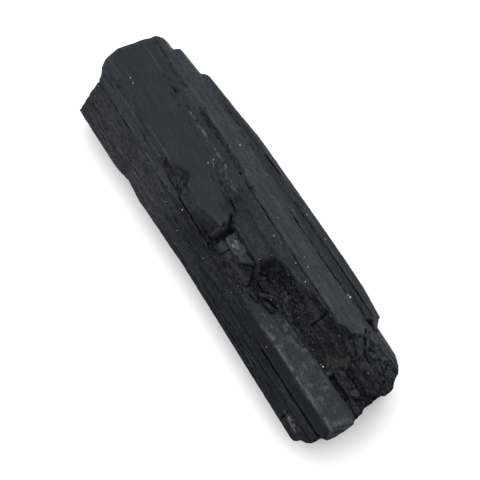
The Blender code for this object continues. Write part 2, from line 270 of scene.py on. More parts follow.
LUMPS = {
    "end_lump": Lump((33.4, 3.0, 14.7), (3.6, 2.0, 1.5), 0.3, 1.0, 0.0),
    "splinter_low": Lump((10.0, -6.0, 13.9), (1.6, 0.36, 0.8), 0.2, 0.3, 0.06, turn=20.0),
    "splinter_middle": Lump((11.3, -4.7, 14.1), (2.2, 0.36, 0.8), 0.25, 0.4, 0.03, turn=40.0),
    "splinter_high": Lump((12.4, -3.5, 14.3), (1.5, 0.32, 0.7), 0.2, 0.4, 0.03, turn=38.0),
}


class Block(NamedTuple):
    """A flat-topped block standing in a break."""
    top: tuple  # (z, rise per x, rise per y) about the outline's middle
    rough: float  # how far the top's facets stand out
    broken: float
    pale: float
    outline: list  # seen from above


BLOCKS = {
    "grain_bed_west": Block((14.9, 0.0, 0.3), 0.3, 0.1, 0.13, [
        (-0.8, -2.2), (3.5, -2.2), (3.7, -4.0), (2.6, -4.75), (-0.6, -4.65),
    ]),
    "pale_grain": Block((15.05, 0.05, 0.3), 0.35, 0.1, 0.42, [
        (0.3, -3.3), (1.2, -3.0), (1.6, -3.35), (2.6, -3.3), (2.4, -3.9), (1.9, -4.0), (1.7, -4.45),
        (1.0, -4.2), (0.9, -3.7),
    ]),
    "smooth_chip": Block((14.85, 0.03, 0.25), 0.03, 0.0, 0.0, [
        (2.9, -2.2), (6.6, -2.3), (5.7, -3.4), (4.3, -4.8), (3.0, -4.2),
    ]),
    "block_west": Block((14.7, -0.05, 0.1), 0.08, 0.15, 0.0, [
        (-0.6, -4.95), (0.7, -4.8), (1.5, -5.0), (1.35, -6.9), (-0.5, -7.0),
    ]),
    "block_east": Block((14.6, -0.2, 0.1), 0.25, 0.35, 0.02, [
        (1.6, -5.0), (2.8, -4.9), (3.4, -6.4), (2.6, -7.1), (1.7, -6.9),
    ]),
    "channel_shelf": Block((15.1, -0.1, 0.35), 0.5, 0.85, 0.0, [
        (6.8, -1.2), (7.0, 0.2), (8.3, 1.3), (9.8, 1.0), (9.0, -0.7), (7.9, -1.5),
    ]),
    "channel_chip": Block((14.7, 0.2, 0.1), 0.12, 0.4, 0.0, [
        (8.5, -2.6), (9.3, -1.8), (9.6, -2.6), (9.0, -3.2),
    ]),
    "crumb_block": Block((15.2, 0.0, 0.2), 0.3, 0.5, 0.03, [
        (12.8, -1.6), (13.4, -0.8), (14.8, -0.9), (15.0, -1.7), (13.6, -2.1),
    ]),
    "end_wedge": Block((14.3, 0.05, 0.1), 0.05, 0.1, 0.0, [(28.3, -2.6), (29.8, -1.5), (29.9, -2.7)]),
    "end_knob": Block((15.3, 0.0, 0.25), 0.5, 0.35, 0.0, [
        (33.9, -0.9), (34.3, 0.3), (35.2, 0.6), (35.9, 0.2), (35.7, -0.7), (34.8, -1.2),
    ]),
}


class Groove(NamedTuple):
    """A groove or step line along the rod."""
    width: float  # half its width
    depth: float
    dashes: float  # how far it comes and goes along the path, from 0, whole
    path: list  # seen from above
    wander: float = 1.0  # how many times more than usual it leaves the path


GROOVES = {
    "plate_back_groove": Groove(0.17, 0.55, 0.95, [
        (-28.2, 1.6), (-24.6, 1.9), (-18.6, 2.0), (-15.2, 1.9), (-11.5, 2.0),
    ]),
    "plate_speckles": Groove(0.22, 0.35, 1.3, [(-27.5, 0.9), (-17.2, 0.85)]),
    "plate_tip_groove": Groove(0.15, 0.3, 0.9, [(-11.5, 1.9), (-11.0, 1.0), (-7.9, 0.9), (-4.6, 0.8)]),
    "plate_tip_line": Groove(0.1, 0.2, 0.3, [(-10.9, -1.2), (-8.7, -1.2), (-3.4, -1.1)]),
    "tip_crack": Groove(0.14, 0.5, 0.0, [(-5.1, -0.7), (-3.1, -0.9)]),
    "band_step": Groove(0.15, 0.5, 0.12, [(-9.0, 3.3), (0, 3.3), (12, 3.25), (23, 3.4)]),
    "low_band_line": Groove(0.12, 0.1, 0.5, [(-2.6, 0.4), (6.5, 0.3)]),
    "west_blotches": Groove(0.38, 0.42, 1.1, [(-36.5, 3.5), (-20, 3.6), (-12.5, 3.5)]),
    "middle_blotches": Groove(0.3, 0.45, 0.8, [(-21.5, 3.55), (-8.5, 3.45)]),
    "front_line_a": Groove(0.12, 0.3, 0.3, [(-25, -6.9), (-18.5, -7.1), (-11, -7.4)]),
    "front_line_b": Groove(0.13, 0.4, 0.3, [(-37, -8.25), (-19.5, -8.3)]),
    "front_line_c": Groove(0.12, 0.3, 0.4, [(-19.5, -8.3), (-10, -8.4)]),
    "front_slit": Groove(0.17, 0.9, 0.0, [(-10.7, -7.45), (-1.3, -7.5)]),
    "flank_dashes": Groove(0.15, 0.55, 0.4, [(-9.0, -9.5), (0.5, -9.65), (16, -9.45)]),
    "flank_line_a": Groove(0.08, 0.55, 0.5, [(13, -10.3), (36, -10.2)]),
    "flank_line_b": Groove(0.08, 0.6, 0.6, [(3, -10.9), (26, -10.95)]),
    "flank_line_c": Groove(0.08, 0.55, 0.6, [(-10, -11.2), (20, -11.4)]),
    "flank_line_d": Groove(0.08, 0.55, 0.8, [(-36, -10.4), (-10, -10.3)]),
    "prism_groove": Groove(0.15, 0.9, 0.2, [(19.0, -9.0), (40, -9.0)]),
    "prism_groove_start": Groove(0.13, 0.4, 0.4, [(14.5, -9.0), (19.2, -9.0)]),
    "prism_top_line": Groove(0.1, 0.1, 0.0, [(13.0, -4.85), (20.5, -4.85)]),
    "channel_line": Groove(0.2, 0.6, 0.1, [(10.5, -0.4), (15.7, -0.5)]),
    "channel_step": Groove(0.18, 0.6, 0.1, [(20.6, -0.2), (20.5, 2.6)]),
    "stria_low": Groove(0.1, 0.2, 0.4, [(21.1, -0.1), (26.6, 0.0)]),
    "stria_middle": Groove(0.1, 0.2, 0.5, [(21.3, 0.4), (26.0, 0.5)]),
    "stria_high": Groove(0.1, 0.2, 0.5, [(21.0, 0.8), (25.4, 0.9)]),
    "outer_line_a": Groove(0.14, 0.26, 0.5, [(-22, 8.0), (-12, 8.2)]),
    "outer_line_b": Groove(0.14, 0.4, 0.15, [(-10, 9.3), (-3, 9.9), (1, 10.1)]),
    "outer_line_c": Groove(0.13, 0.42, 0.3, [(0, 8.9), (12, 9.4), (24.6, 9.7)]),
    "band_line": Groove(0.13, 0.35, 0.3, [(-0.5, 7.2), (7, 7.35), (19, 7.7)]),
    "ledge_crack_west": Groove(0.16, 0.6, 0.1, [
        (26.4, 7.1), (27.2, 6.4), (28.8, 5.6), (30.3, 4.6), (31.7, 4.5),
    ], wander=3.0),
    "ledge_crack_middle": Groove(0.15, 0.55, 0.15, [
        (29.4, 5.8), (30.2, 6.2), (31.9, 6.5), (33.1, 6.0), (34.9, 5.6),
    ], wander=3.0),
    "ledge_crack_east": Groove(0.15, 0.55, 0.15, [(33.4, 7.0), (34.2, 6.2), (35.9, 5.0)], wander=3.0),
    "band_line_east": Groove(0.2, 0.45, 0.45, [(20.5, 8.3), (24.6, 8.35)]),
}

# Small hollows: (x, y, radius, depth).
PITS = ((-33.1, -6.1, 0.35, 0.5), (-36.6, 3.6, 0.5, 0.35), (-5.4, 3.5, 0.35, 0.5), (-22.5, -11.2, 0.5, 0.5))


def patch(centre, half, turn=0.0, patchy=0.9, bare=0.0, **adds):
    """A stain, worn place, painted shade or painted highlight seen from above: its middle, half sizes and
    turn in degrees. patchy is how strongly noise breaks it up, and bare how much of it is left out, so that
    only flecks
    stay. The rest is how high it brings each tint that it names. One that brings up hollow darkens the stone:
    painted shade in the patches named shade, dark specks and chips in the rest."""
    return centre, half, turn, patchy, bare, adds


PATCHES = {
    "olive_stain": patch((28.7, 0.2), (1.8, 0.9), turn=40.0, olive=0.75),
    "flank_stain": patch((-33.2, -9.1), (1.7, 0.7), olive=0.3),
    "groove_dust_west": patch((-18.6, 1.9), (6.0, 0.16), patchy=2.2, olive=0.25, pale=0.22),
    "groove_dust_east": patch((-8.6, 1.0), (2.4, 0.3), patchy=2.2, olive=0.35, pale=0.12),
    "west_specks": patch((-26.0, 3.7), (13.0, 0.55), patchy=3.0, bare=1.9, hollow=0.9),
    "west_specks_dense": patch((-16.5, 3.6), (6.0, 0.6), patchy=3.0, bare=0.9, hollow=1.0),
    "groove_specks": patch((-25.9, 1.95), (3.0, 0.3), patchy=3.0, bare=0.6, hollow=1.0),
    "plate_specks": patch((-21.0, 0.95), (4.5, 0.35), patchy=3.0, bare=1.5, hollow=0.95),
    "tip_specks": patch((-12.0, 0.6), (1.4, 0.6), patchy=3.0, bare=1.6, hollow=0.9),
    "flank_specks_west": patch((-22.0, -9.6), (9.0, 0.8), patchy=3.0, bare=2.1, hollow=0.95),
    "flank_specks_east": patch((4.0, -9.9), (12.0, 0.5), patchy=3.0, bare=2.1, hollow=0.95),
    "flank_flecks": patch((-19.0, -10.4), (7.0, 0.35), patchy=3.0, bare=2.0, wear=0.16),
    "keel_dust": patch((-4.0, -11.0), (8.0, 0.45), patchy=1.2, wear=0.07),
    "strip_bloom": patch((-25.0, -6.9), (14.0, 1.7), patchy=0.5, warm=0.55, wear=0.07),
    # Painted highlights along the plate's front edge and along a scoop's edge.
    "plate_front_highlight": patch((-19.8, -5.65), (4.0, 0.13), patchy=0.8, wear=0.3),
    "scoop_edge_highlight": patch((-17.6, -6.6), (0.9, 0.12), turn=-55.0, patchy=0.5, wear=0.3),
    "brown_foot_shade": patch((23.6, -1.7), (3.8, 0.9), patchy=1.6, bare=0.3, hollow=0.95),
    "channel_shade": patch((17.0, -1.9), (3.2, 0.9), patchy=2.0, bare=0.6, hollow=0.95),
    "brown_shade": patch((25.2, 1.4), (5.0, 2.6), patchy=1.8, bare=0.35, hollow=0.86),
    "lump_shade": patch((33.4, 2.6), (3.6, 2.6), patchy=1.8, bare=0.6, hollow=0.84),
    "flank_bloom": patch((-21.0, -10.3), (10.0, 0.45), patchy=2.4, bare=1.2, wear=0.1),
    "scoop_shade": patch((-17.2, -6.5), (1.5, 0.8), patchy=1.2, bare=0.2, hollow=0.9),
    "tip_chips_dark": patch((-7.4, -0.2), (4.0, 0.7), patchy=3.0, bare=1.5, hollow=0.9),
    "tip_chips_light": patch((-7.4, 0.1), (4.0, 0.7), patchy=3.0, bare=2.0, wear=0.14),
    "outer_flecks": patch((-11.0, 7.6), (7.0, 0.8), patchy=3.0, bare=2.1, wear=0.16),
    "outer_chips": patch((-6.0, 9.4), (9.0, 0.8), patchy=3.0, bare=1.9, hollow=0.9),
    "prism_top_shade": patch((16.6, -4.1), (3.6, 0.65), patchy=0.4, dull=0.4),
    "end_shade": patch((36.3, 1.6), (1.5, 1.5), patchy=1.6, bare=0.5, hollow=0.95),
    "plate_flecks_west": patch((-27.5, 0.0), (8.5, 1.7), patchy=3.0, bare=2.6, wear=0.09),
    "plate_flecks_east": patch((-12.5, 0.3), (5.0, 1.2), patchy=3.0, bare=2.6, wear=0.1),
    "plated_corner": patch((-36.5, -5.8), (2.6, 1.0), warm=0.3, wear=0.1),
    "knob_shine": patch((34.9, -0.2), (0.5, 0.2), pale=0.05),
    "notch_fleck": patch((32.0, -11.0), (1.7, 0.3), patchy=2.4, bare=0.3, pale=0.28),
    "back_strip": patch((30.6, 8.15), (3.4, 0.14), patchy=1.0, wear=0.12),
    # Painted highlights on the end ledges and on a bright facet of the broken end.
    "ledge_highlights": patch((31.2, 6.3), (4.8, 1.7), patchy=3.0, bare=1.5, wear=0.22),
    "end_facet_highlight": patch((38.0, -4.7), (2.0, 0.6), turn=71.0, patchy=0.6, wear=0.28),
    # Pale flecks in the channel, partly painted glints.
    "channel_flecks_and_glints": patch((14.3, -1.5), (1.5, 1.2), patchy=2.0, bare=1.0, pale=0.12),
}

# Where loose crumbs of stone lie in the breaks, seen from above: centre, half sizes and how many are
# dropped. Only those that fall on broken stone stay. CRUMB_SIZE is the least half size, and how much a
# random number from 0 to 1, cubed, adds to it. CRUMB_SHAPE holds the least and the most of each axis's
# share of the size, and CRUMB_LIFT is how far a crumb's middle stands over the stone, as a share of its
# size.
CRUMB_BEDS = {
    "channel_light": ((13.8, -1.4), (1.5, 1.0), 40),
    "channel_floor": ((14.0, -1.0), (6.5, 3.5), 150),
    "brown_foot": ((23.8, -1.6), (3.4, 1.3), 40),
    "grain_bed": ((4.0, -5.3), (4.5, 2.4), 60),
    "end": ((32.5, 2.5), (4.5, 5.2), 90),
}
CRUMB_SIZE = (0.06, 0.18)
CRUMB_SHAPE = ([0.8, 0.6, 0.5], [1.5, 1.0, 0.9])
CRUMB_LIFT = 0.2

# Bright dust grains lying on the crystal, seen from above: (x, y, half size). Fine dust is scattered at
# random over the field, given as its ends along x and y. Shape and lift are as for the crumbs.
DUST_GRAINS = (
    (-33.2, -3.7, 0.17), (-32.1, -3.8, 0.16), (-12.9, 0.7, 0.16), (-12.9, -0.4, 0.15), (-12.4, 0.3, 0.1),
    (-12.0, 0.1, 0.09), (-13.2, 6.2, 0.19), (1.6, 4.7, 0.1), (4.3, 2.3, 0.16), (3.0, 9.7, 0.12),
    (6.0, 2.7, 0.12), (8.3, 10.2, 0.16), (10.4, 2.9, 0.14), (10.1, 4.8, 0.11), (12.0, 4.4, 0.15),
    (14.2, 2.5, 0.16), (-8.7, -8.1, 0.19), (-12.0, -9.3, 0.13), (-0.1, -9.2, 0.12), (8.0, -8.4, 0.11),
    (13.0, -3.6, 0.15), (6.5, -1.9, 0.13), (-6.3, -11.1, 0.12), (-7.2, -10.1, 0.1), (20.0, 7.9, 0.24),
    (19.6, 7.8, 0.17), (19.4, -8.4, 0.16), (27.8, -2.3, 0.2), (27.3, -2.4, 0.13), (32.4, -1.0, 0.15),
    (23.3, -1.5, 0.14), (25.0, 2.7, 0.1), (28.2, -1.5, 0.13),
)
DUST_FIELD = ((-37, 36), (-11.0, 11.0))
FINE_DUST_SIZE = (0.02, 0.04)
GRAIN_SHAPE = ([0.55, 0.45, 0.35], [1.0, 0.8, 0.6])
GRAIN_LIFT = 0.3

# The studio. The floor is in millimetres, the lights and the camera's reach are in metres.
FLOOR_HALF = 1500.0
FLOOR_DROP = 0.02
TOP_LIGHT = dict(place=(-0.08, 0.03, 0.5), size=0.5)
BACK_LIGHT = dict(place=(-0.16, 0.42, 0.34), size=0.4)
LIGHT_AIM = (0, 0, 0.01)
CAMERA_SEES = (0.01, 10.0)

# Faces that meet at more than this stay crisp.
SHARP_ANGLE = math.radians(32)


# ------------------------------------------------------------------------------------------------------------
# Formulas
# ------------------------------------------------------------------------------------------------------------

CELLS = 64


def above(value, start, width):
    """0 up to the start, rising evenly to 1 over the width beyond it."""
    return np.clip((value - start) / width, 0, 1)


def below(value, start, width):
    """0 down to the start, rising evenly to 1 over the width under it."""
    return np.clip((start - value) / width, 0, 1)


def between(value, low, high):
    """Whether a value lies in a range."""
    return (value > low) & (value < high)


def bell(distance, width):
    """A bell curve of height 1: e to the power of minus (distance / width)^2."""
    return np.exp(-((distance / width) ** 2))


def smooth_noise(x, y, seed):
    """Random heights from -1 to 1 on a unit grid, blended between grid points by the curve 3t^2 - 2t^3."""
    table = np.random.default_rng(seed).uniform(-1, 1, (CELLS, CELLS))
    cell_x, cell_y = np.floor(x), np.floor(y)
    share_x, share_y = x - cell_x, y - cell_y
    share_x = share_x * share_x * (3 - 2 * share_x)
    share_y = share_y * share_y * (3 - 2 * share_y)
    i, j = cell_x.astype(int) % CELLS, cell_y.astype(int) % CELLS
    i_next, j_next = (i + 1) % CELLS, (j + 1) % CELLS
    near = table[i, j] * (1 - share_x) + table[i_next, j] * share_x
    far = table[i, j_next] * (1 - share_x) + table[i_next, j_next] * share_x
    return near * (1 - share_y) + far * share_y


def noise_layers(x, y, layers, seed):
    """Layers of smooth noise added up: for each, its height times the noise of x / length and y / width."""
    return sum(
        height * smooth_noise(x / length, y / width, seed + number)
        for number, (height, length, width) in enumerate(layers)
    )


def facets(x, y, seed, tilt=1.0):
    """Broken stone: the plane is parted into scattered cells of about unit size, and each cell is a flat
    plate with its own height and slope, so height = own height + tilt times slope times distance from its
    middle."""
    scatter, step = 0.45, 0.55
    table = np.random.default_rng(seed).uniform(-1, 1, (5, CELLS, CELLS))
    cell_x, cell_y = np.floor(x), np.floor(y)
    nearest = np.full(np.shape(x), np.inf)
    height = np.zeros(np.shape(x))
    for step_x in (-1, 0, 1):
        for step_y in (-1, 0, 1):
            i = (cell_x + step_x).astype(int) % CELLS
            j = (cell_y + step_y).astype(int) % CELLS
            away_x = x - (cell_x + step_x + 0.5 + scatter * table[0, i, j])
            away_y = y - (cell_y + step_y + 0.5 + scatter * table[1, i, j])
            distance = away_x**2 + away_y**2
            plate = step * table[2, i, j] + tilt * (table[3, i, j] * away_x + table[4, i, j] * away_y)
            height = np.where(distance < nearest, plate, height)
            nearest = np.minimum(distance, nearest)
    return height


def crumble(x, y, seed):
    """Facets at three sizes and fine noise on top of each other, longer along the rod, as black tourmaline
    breaks."""
    return (
        0.62 * facets(x / 2.3, y / 1.3, seed)
        + 0.34 * facets(x / 1.0, y / 0.65, seed + 1)
        + 0.16 * facets(x / 0.45, y / 0.35, seed + 2)
        + 0.05 * smooth_noise(x / 0.25, y / 0.2, seed + 3)
    )


def facet_tones(x, y):
    """How light each facet of broken stone is, from 0 to 1: flat plates of two sizes without any slope. The
    finish paints the lighter facets as highlights and the darker ones as shade.
    """
    seed = SEEDS["tones"]
    tone = facets(x / 2.2, y / 0.8, seed, tilt=0) + 0.8 * facets(x / 0.8, y / 0.33, seed + 1, tilt=0)
    return np.clip(0.5 + 0.9 * tone, 0, 1)


def splinters(x, y, seed):
    """Stone split along the rod: the plane is parted into rows about 1 wide and each row into blocks about
    1 long. Each block has its own height and slope, so height = own height + slope times distance from its
    middle."""
    table = np.random.default_rng(seed).uniform(-1, 1, (4, CELLS, CELLS))
    bent_y = y + 0.35 * smooth_noise(x * 1.3, y * 0.7, seed + 1)
    row = np.floor(bent_y).astype(int) % CELLS
    bent_x = x + 7 * table[0, row, 0] + 0.3 * smooth_noise(x, bent_y * 1.7, seed + 2)
    block = np.floor(bent_x)
    along = bent_x - block - 0.5
    block = block.astype(int) % CELLS
    across = bent_y - np.floor(bent_y) - 0.5
    own_height, slope_x, slope_y = table[1:, row, block]
    return 0.6 * own_height + 0.7 * slope_x * along + 0.5 * slope_y * across


def broken_floor(x, y, seed, split):
    """Heights of a broken floor: crumbled facets, mixed by the share split with splinters of two sizes."""
    if split == 0:
        return crumble(x, y, seed)
    split_stone = (
        0.62 * splinters(x / 2.6, y / 0.75, seed + 4)
        + 0.2 * splinters(x / 1.1, y / 0.34, seed + 5)
        + 0.10 * facets(x / 0.4, y / 0.3, seed + 6)
    )
    return (1 - split) * crumble(x, y, seed) + split * split_stone


def path_distance(x, y, path):
    """Least distance to a line of points."""
    nearest = np.full(np.shape(x), np.inf)
    for (ax, ay), (bx, by) in zip(path, path[1:]):
        run_x, run_y = bx - ax, by - ay
        share = np.clip(((x - ax) * run_x + (y - ay) * run_y) / (run_x**2 + run_y**2), 0, 1)
        nearest = np.minimum(nearest, np.hypot(x - ax - share * run_x, y - ay - share * run_y))
    return nearest


def inside_depth(x, y, outline):
    """Distance from an outline, positive inside it: a point is inside if a line from it to the far +X side
    crosses the outline an odd number of times."""
    closed = outline + outline[:1]
    inside = np.zeros(np.shape(x), bool)
    for (ax, ay), (bx, by) in zip(closed, closed[1:]):
        if ay != by:
            crosses = (y < ay) != (y < by)
            inside ^= crosses & (x < ax + (y - ay) * (bx - ax) / (by - ay))
    nearest = path_distance(x, y, closed)
    return np.where(inside, nearest, -nearest)


def turned(x, y, degrees):
    """Coordinates along and across a direction at an angle to +X."""
    angle = math.radians(degrees)
    return x * math.cos(angle) + y * math.sin(angle), y * math.cos(angle) - x * math.sin(angle)


def within(x, y, outline, margin):
    """Which points lie in the box round an outline, widened by a margin."""
    (low_x, low_y), (high_x, high_y) = np.min(outline, axis=0) - margin, np.max(outline, axis=0) + margin
    return between(x, low_x, high_x) & between(y, low_y, high_y)


def edge_at(edge, x):
    """The (y, z) of a long edge at x."""
    xs, ys, zs = zip(*edge)
    return np.interp(x, xs, ys), np.interp(x, xs, zs)


def rod_section(x):
    """The section at each x: straight faces between the long edges. Returns y, z, the direction out of the
    face, the distance round the section and the distance to the nearest long edge."""
    y, z, out_y, out_z, around, to_edge = (np.empty(x.shape) for _ in range(6))
    column = 0
    travelled = 0.0
    for k, (_, lines, edge) in enumerate(LONG_EDGES):
        face = slice(column, column + lines)
        start_y, start_z = edge_at(edge, x[:, face])
        end_y, end_z = edge_at(LONG_EDGES[(k + 1) % len(LONG_EDGES)][2], x[:, face])
        run_y, run_z = end_y - start_y, end_z - start_z
        width = np.hypot(run_y, run_z)
        share = np.arange(lines) / lines
        y[:, face] = start_y + run_y * share
        z[:, face] = start_z + run_z * share
        out_y[:, face] = -run_z / width
        out_z[:, face] = run_y / width
        around[:, face] = travelled + share * np.median(width)
        to_edge[:, face] = np.minimum(share, 1 - share) * width
        travelled += float(np.median(width))
        column += lines
    return y, z, out_y, out_z, around, to_edge


def end_facets(y, z, height, calm_from, seed):
    """How far an end is broken back: height times (1 + crumbled facets), fading towards its upper edge."""
    return height * (1 + crumble(y, z, seed)) * np.clip((calm_from - z) / 2.0, 0.15, 1)


def plated_end_x(y, z):
    """Where the plated end stands: its outline from above or the furthest back of its leaning planes, with
    broken facets."""
    plan = np.interp(y, *zip(*PLATED_END))
    leans = [
        -HALF_LENGTH + per_y * (y - from_y) + per_drop * (from_z - z)
        for per_y, from_y, per_drop, from_z in PLATED_LEANS
    ]
    return np.maximum(plan, np.maximum(*leans)) + end_facets(y + 40, z, 0.22, 16.5, SEEDS["plated_end"])


def broken_end_x(y, z):
    """Where the broken end stands: its foot's outline carried up the leaning line, rubbed back along its
    upper edge over the prism, with broken facets."""
    foot_x = np.interp(y - BROKEN_LEAN_Y * z, *zip(*BROKEN_END))
    leaning = np.minimum(foot_x + BROKEN_LEAN_X * z, HALF_LENGTH)
    rubbed = RUBBED_LEAN * np.clip(z - RUBBED_FROM, 0, RUBBED_HEIGHT) * below(y, -3.6, 2.5)
    return leaning - rubbed - end_facets(y + 90, z, 0.3, 15.0, SEEDS["broken_end"])


# ------------------------------------------------------------------------------------------------------------
# The crystal's surface
# ------------------------------------------------------------------------------------------------------------

def stations():
    """Where the lines across the rod stand along it: evenly spaced in each of its two halves."""
    plain = np.arange(-HALF_LENGTH, BROKEN_FROM, PLAIN_SPACING)
    return np.concatenate([plain, np.arange(BROKEN_FROM, HALF_LENGTH + 0.01, BROKEN_SPACING)])


def stretched_to_ends(x, first_ring, last_ring):
    """Slide the lines along the rod so that its first and last rings, given as (y, z), meet the end
    surfaces. The slide fades evenly to nothing over each end's reach."""
    near_plated = below(x, PLATED_REACH - HALF_LENGTH, PLATED_REACH)
    near_broken = above(x - HALF_LENGTH, -BROKEN_REACH, BROKEN_REACH)
    x = x + (plated_end_x(*first_ring) + HALF_LENGTH) * near_plated
    return x + (broken_end_x(*last_ring) - HALF_LENGTH) * near_broken


def striation_relief(x, y, z, around, to_edge, striation_depth):
    """Height of the fine surface out of the flat faces. Striations and grit are layers of noise, long along
    the rod. Three things are taken off them: cracks, a bell curve about the lines where slow noise crosses
    zero; bites, the peaks of a noise along the long edges, under a bell curve across each; and pocks, the
    peaks of a fine noise on the front side. The top plate and the prism's top are calm."""
    on_plate = above(z, 17.2, 0.2) * below(y, 2.0, 0.5) * below(x, -1.0, 2)
    on_prism = above(x, 14, 2) * below(y, -2.4, 0.5) * above(y, -9.0, 0.4)
    calm = 1 - np.maximum(0.85 * on_plate, 0.8 * on_prism)
    front = below(y, -7.5, 1.5)
    lines = noise_layers(x, around, STRIATIONS, SEEDS["striations"])
    grit = noise_layers(x, around, GRIT, SEEDS["grit"])

    crossing = smooth_noise(x / 34, around / 0.8, SEEDS["cracks"])
    shown = np.clip(smooth_noise(x / 4.5, around / 1.3, SEEDS["cracks"] + 1) + 0.15, 0, 1)
    cracks = CRACK_DEPTH * shown * bell(crossing, 0.14)
    chips = np.clip(smooth_noise(x / 1.1, around / 3.0, SEEDS["edge_bites"]) - 0.25, 0, 1)
    chips += 0.6 * np.clip(smooth_noise(x / 0.45, around / 3.0, SEEDS["edge_bites"] + 1) - 0.3, 0, 1)
    bites = EDGE_BITE_DEPTH * chips * bell(to_edge, EDGE_BITE_REACH)
    pock_depth = (0.05 + 0.04 * below(x, -8, 3)) * front * calm
    pocks = pock_depth * np.clip(smooth_noise(x / 0.8, around / 0.5, SEEDS["pocks"]) - 0.1, 0, 1)

    ruled = lines * (1 - 0.15 * front) + grit - cracks * (0.35 + 0.85 * front)
    return striation_depth / USUAL_STRIATION_DEPTH * calm * ruled + EDGE_FULLNESS - bites - pocks


def upper_lines():
    """The lines of the section from the front keel over the top to the back keel."""
    starts = np.cumsum([0] + [lines for _, lines, _ in LONG_EDGES])
    names = [name for name, _, _ in LONG_EDGES]
    return slice(int(starts[names.index("front_keel")]), int(starts[names.index("back_keel")]) + 1)


def numbered(table, seed):
    """The rows of a table, each with its own seed."""
    return ((seed + ROW_SEEDS * number, row) for number, row in enumerate(table.values()))


def sloping_plane(x, y, plane, outline):
    """Heights of a plane given as (z, rise per x, rise per y) about the middle of an outline."""
    middle_x, middle_y = np.mean(outline, axis=0)
    level, rise_x, rise_y = plane
    return level + rise_x * (x - middle_x) + rise_y * (y - middle_y)


def rim_wander(x, y, noise_seed, facet_seed):
    """How far a rim wanders, as a factor: smooth noise and a share of facets."""
    return smooth_noise(x / 1.3, y, noise_seed) + 0.6 * facets(x / 0.8, y / 0.6, facet_seed)


def cut_breaks(x, y, z, broken, break_roughness):
    """Lower z to the floor of each break, but no faster than its wall drops from its ragged rim. A level
    break also fills what the breaks before it cut lower than its floor."""
    uncut = z.copy()
    for seed, one in numbered(BREAKS, SEEDS["breaks"]):
        here = within(x, y, one.outline, 1.0)
        px, py, pz = x[here], y[here], z[here]
        ragged_x = px + one.ragged * rim_wander(px, py, seed + 7, seed + 8)
        ragged_y = py + one.ragged * rim_wander(px, py, seed + 9, seed + 7)
        depth = inside_depth(ragged_x, ragged_y, one.outline)
        floor = sloping_plane(px, py, one.floor, one.outline)
        floor = floor + one.rough * break_roughness * broken_floor(px, py, seed, one.split)
        steep = one.wall * (1 + 0.35 * smooth_noise(px / 2.2, py / 1.6, seed + 10))
        faceted = 0.45 * one.rough * break_roughness * crumble(px, py + 0.6 * depth, seed + 11)
        wall = pz - steep * depth + faceted * above(depth, 0, 0.5)
        cut = np.minimum(pz, np.maximum(floor, wall))
        if one.level:
            cut = np.maximum(cut, np.minimum(floor, uncut[here]))
        moved = (depth > 0) & (np.abs(cut - pz) > CUT_SHOWS_FROM)
        broken[here] = np.where(moved, one.broken, broken[here])
        z[here] = np.where(depth > 0, cut, pz)


def stand_on(here, z, broken, pale, raised, height, one):
    """Where raised is true of the points here, set their height and how broken and how pale they are."""
    broken[here] = np.where(raised, one.broken, broken[here])
    pale[here] = np.where(raised, one.pale, pale[here])
    z[here] = np.where(raised, height, z[here])


def stand_lumps(x, y, z, broken, pale):
    """Raise z to rounded lumps: height = half height times sqrt(1 - away^2), with away the cube root of the
    sum of (along / half length)^3 and (across / half width)^3."""
    for seed, one in numbered(LUMPS, SEEDS["lumps"]):
        (at_x, at_y, at_z), (half_x, half_y, half_z) = one.centre, one.half
        here = within(x, y, [(at_x - half_x, at_y - half_y), (at_x + half_x, at_y + half_y)], 1.0)
        px, py = x[here], y[here]
        along, across = turned(px - at_x, py - at_y, one.turn)
        warp_x = along / half_x + 0.2 * smooth_noise(px / 0.9, py / 0.7, seed)
        warp_y = across / half_y + 0.2 * smooth_noise(px / 0.9, py / 0.7, seed + 1)
        away = (np.abs(warp_x) ** 3 + np.abs(warp_y) ** 3) ** (1 / 3)
        top = at_z + half_z * np.sqrt(np.clip(1 - away**2, 0, 1)) + one.rough * crumble(px, py, seed + 2)
        stand_on(here, z, broken, pale, (away < 1) & (top > z[here]), top, one)


def stand_blocks(x, y, z, broken, pale):
    """Raise z to flat-topped blocks, no faster than BLOCK_SIDE for each millimetre in from their
    outlines."""
    for seed, one in numbered(BLOCKS, SEEDS["blocks"]):
        here = within(x, y, one.outline, 0.5)
        px, py, pz = x[here], y[here], z[here]
        depth = inside_depth(px + 0.08 * facets(px / 0.7, py / 0.5, seed), py, one.outline)
        top = sloping_plane(px, py, one.top, one.outline) + one.rough * crumble(px, py, seed + 2)
        height = np.minimum(top, pz + BLOCK_SIDE * depth)
        stand_on(here, z, broken, pale, (depth > 0) & (top > pz), height, one)


def cut_grooves(x, y, z):
    """Lower z by a bell curve across each groove's path, where its dashes show, and by one round each
    pit."""
    for seed, one in numbered(GROOVES, SEEDS["grooves"]):
        here = within(x, y, one.path, 1.0)
        px, py = x[here], y[here]
        level = py * 0
        wave = noise_layers(px, level, ((0.05, 1.4, 1), (0.025, 0.4, 1)), seed)
        distance = path_distance(px, py + one.wander * wave, one.path)
        swell = noise_layers(px, level, ((1, 1.7, 1), (0.6, 0.5, 1)), seed + 2)
        shown = np.clip(1 - one.dashes + 0.9 * one.dashes * swell, 0, 1)
        z[here] -= one.depth * shown * bell(distance, one.width)
    for at_x, at_y, radius, depth in PITS:
        uneven = 1 + 0.5 * smooth_noise(x / 0.3, y / 0.3, SEEDS["pits"])
        z -= depth * bell(np.hypot(x - at_x, y - at_y), radius) * uneven


def hold_spikes(z):
    """Hold each height within SPIKE_LIMIT of the middle one of itself and its eight neighbours."""
    around = [np.roll(z, (i, j), (0, 1)) for i in (-1, 0, 1) for j in (-1, 0, 1)]
    middle = np.median(around, axis=0)[1:-1, 1:-1]
    z[1:-1, 1:-1] = np.clip(z[1:-1, 1:-1], middle - SPIKE_LIMIT, middle + SPIKE_LIMIT)


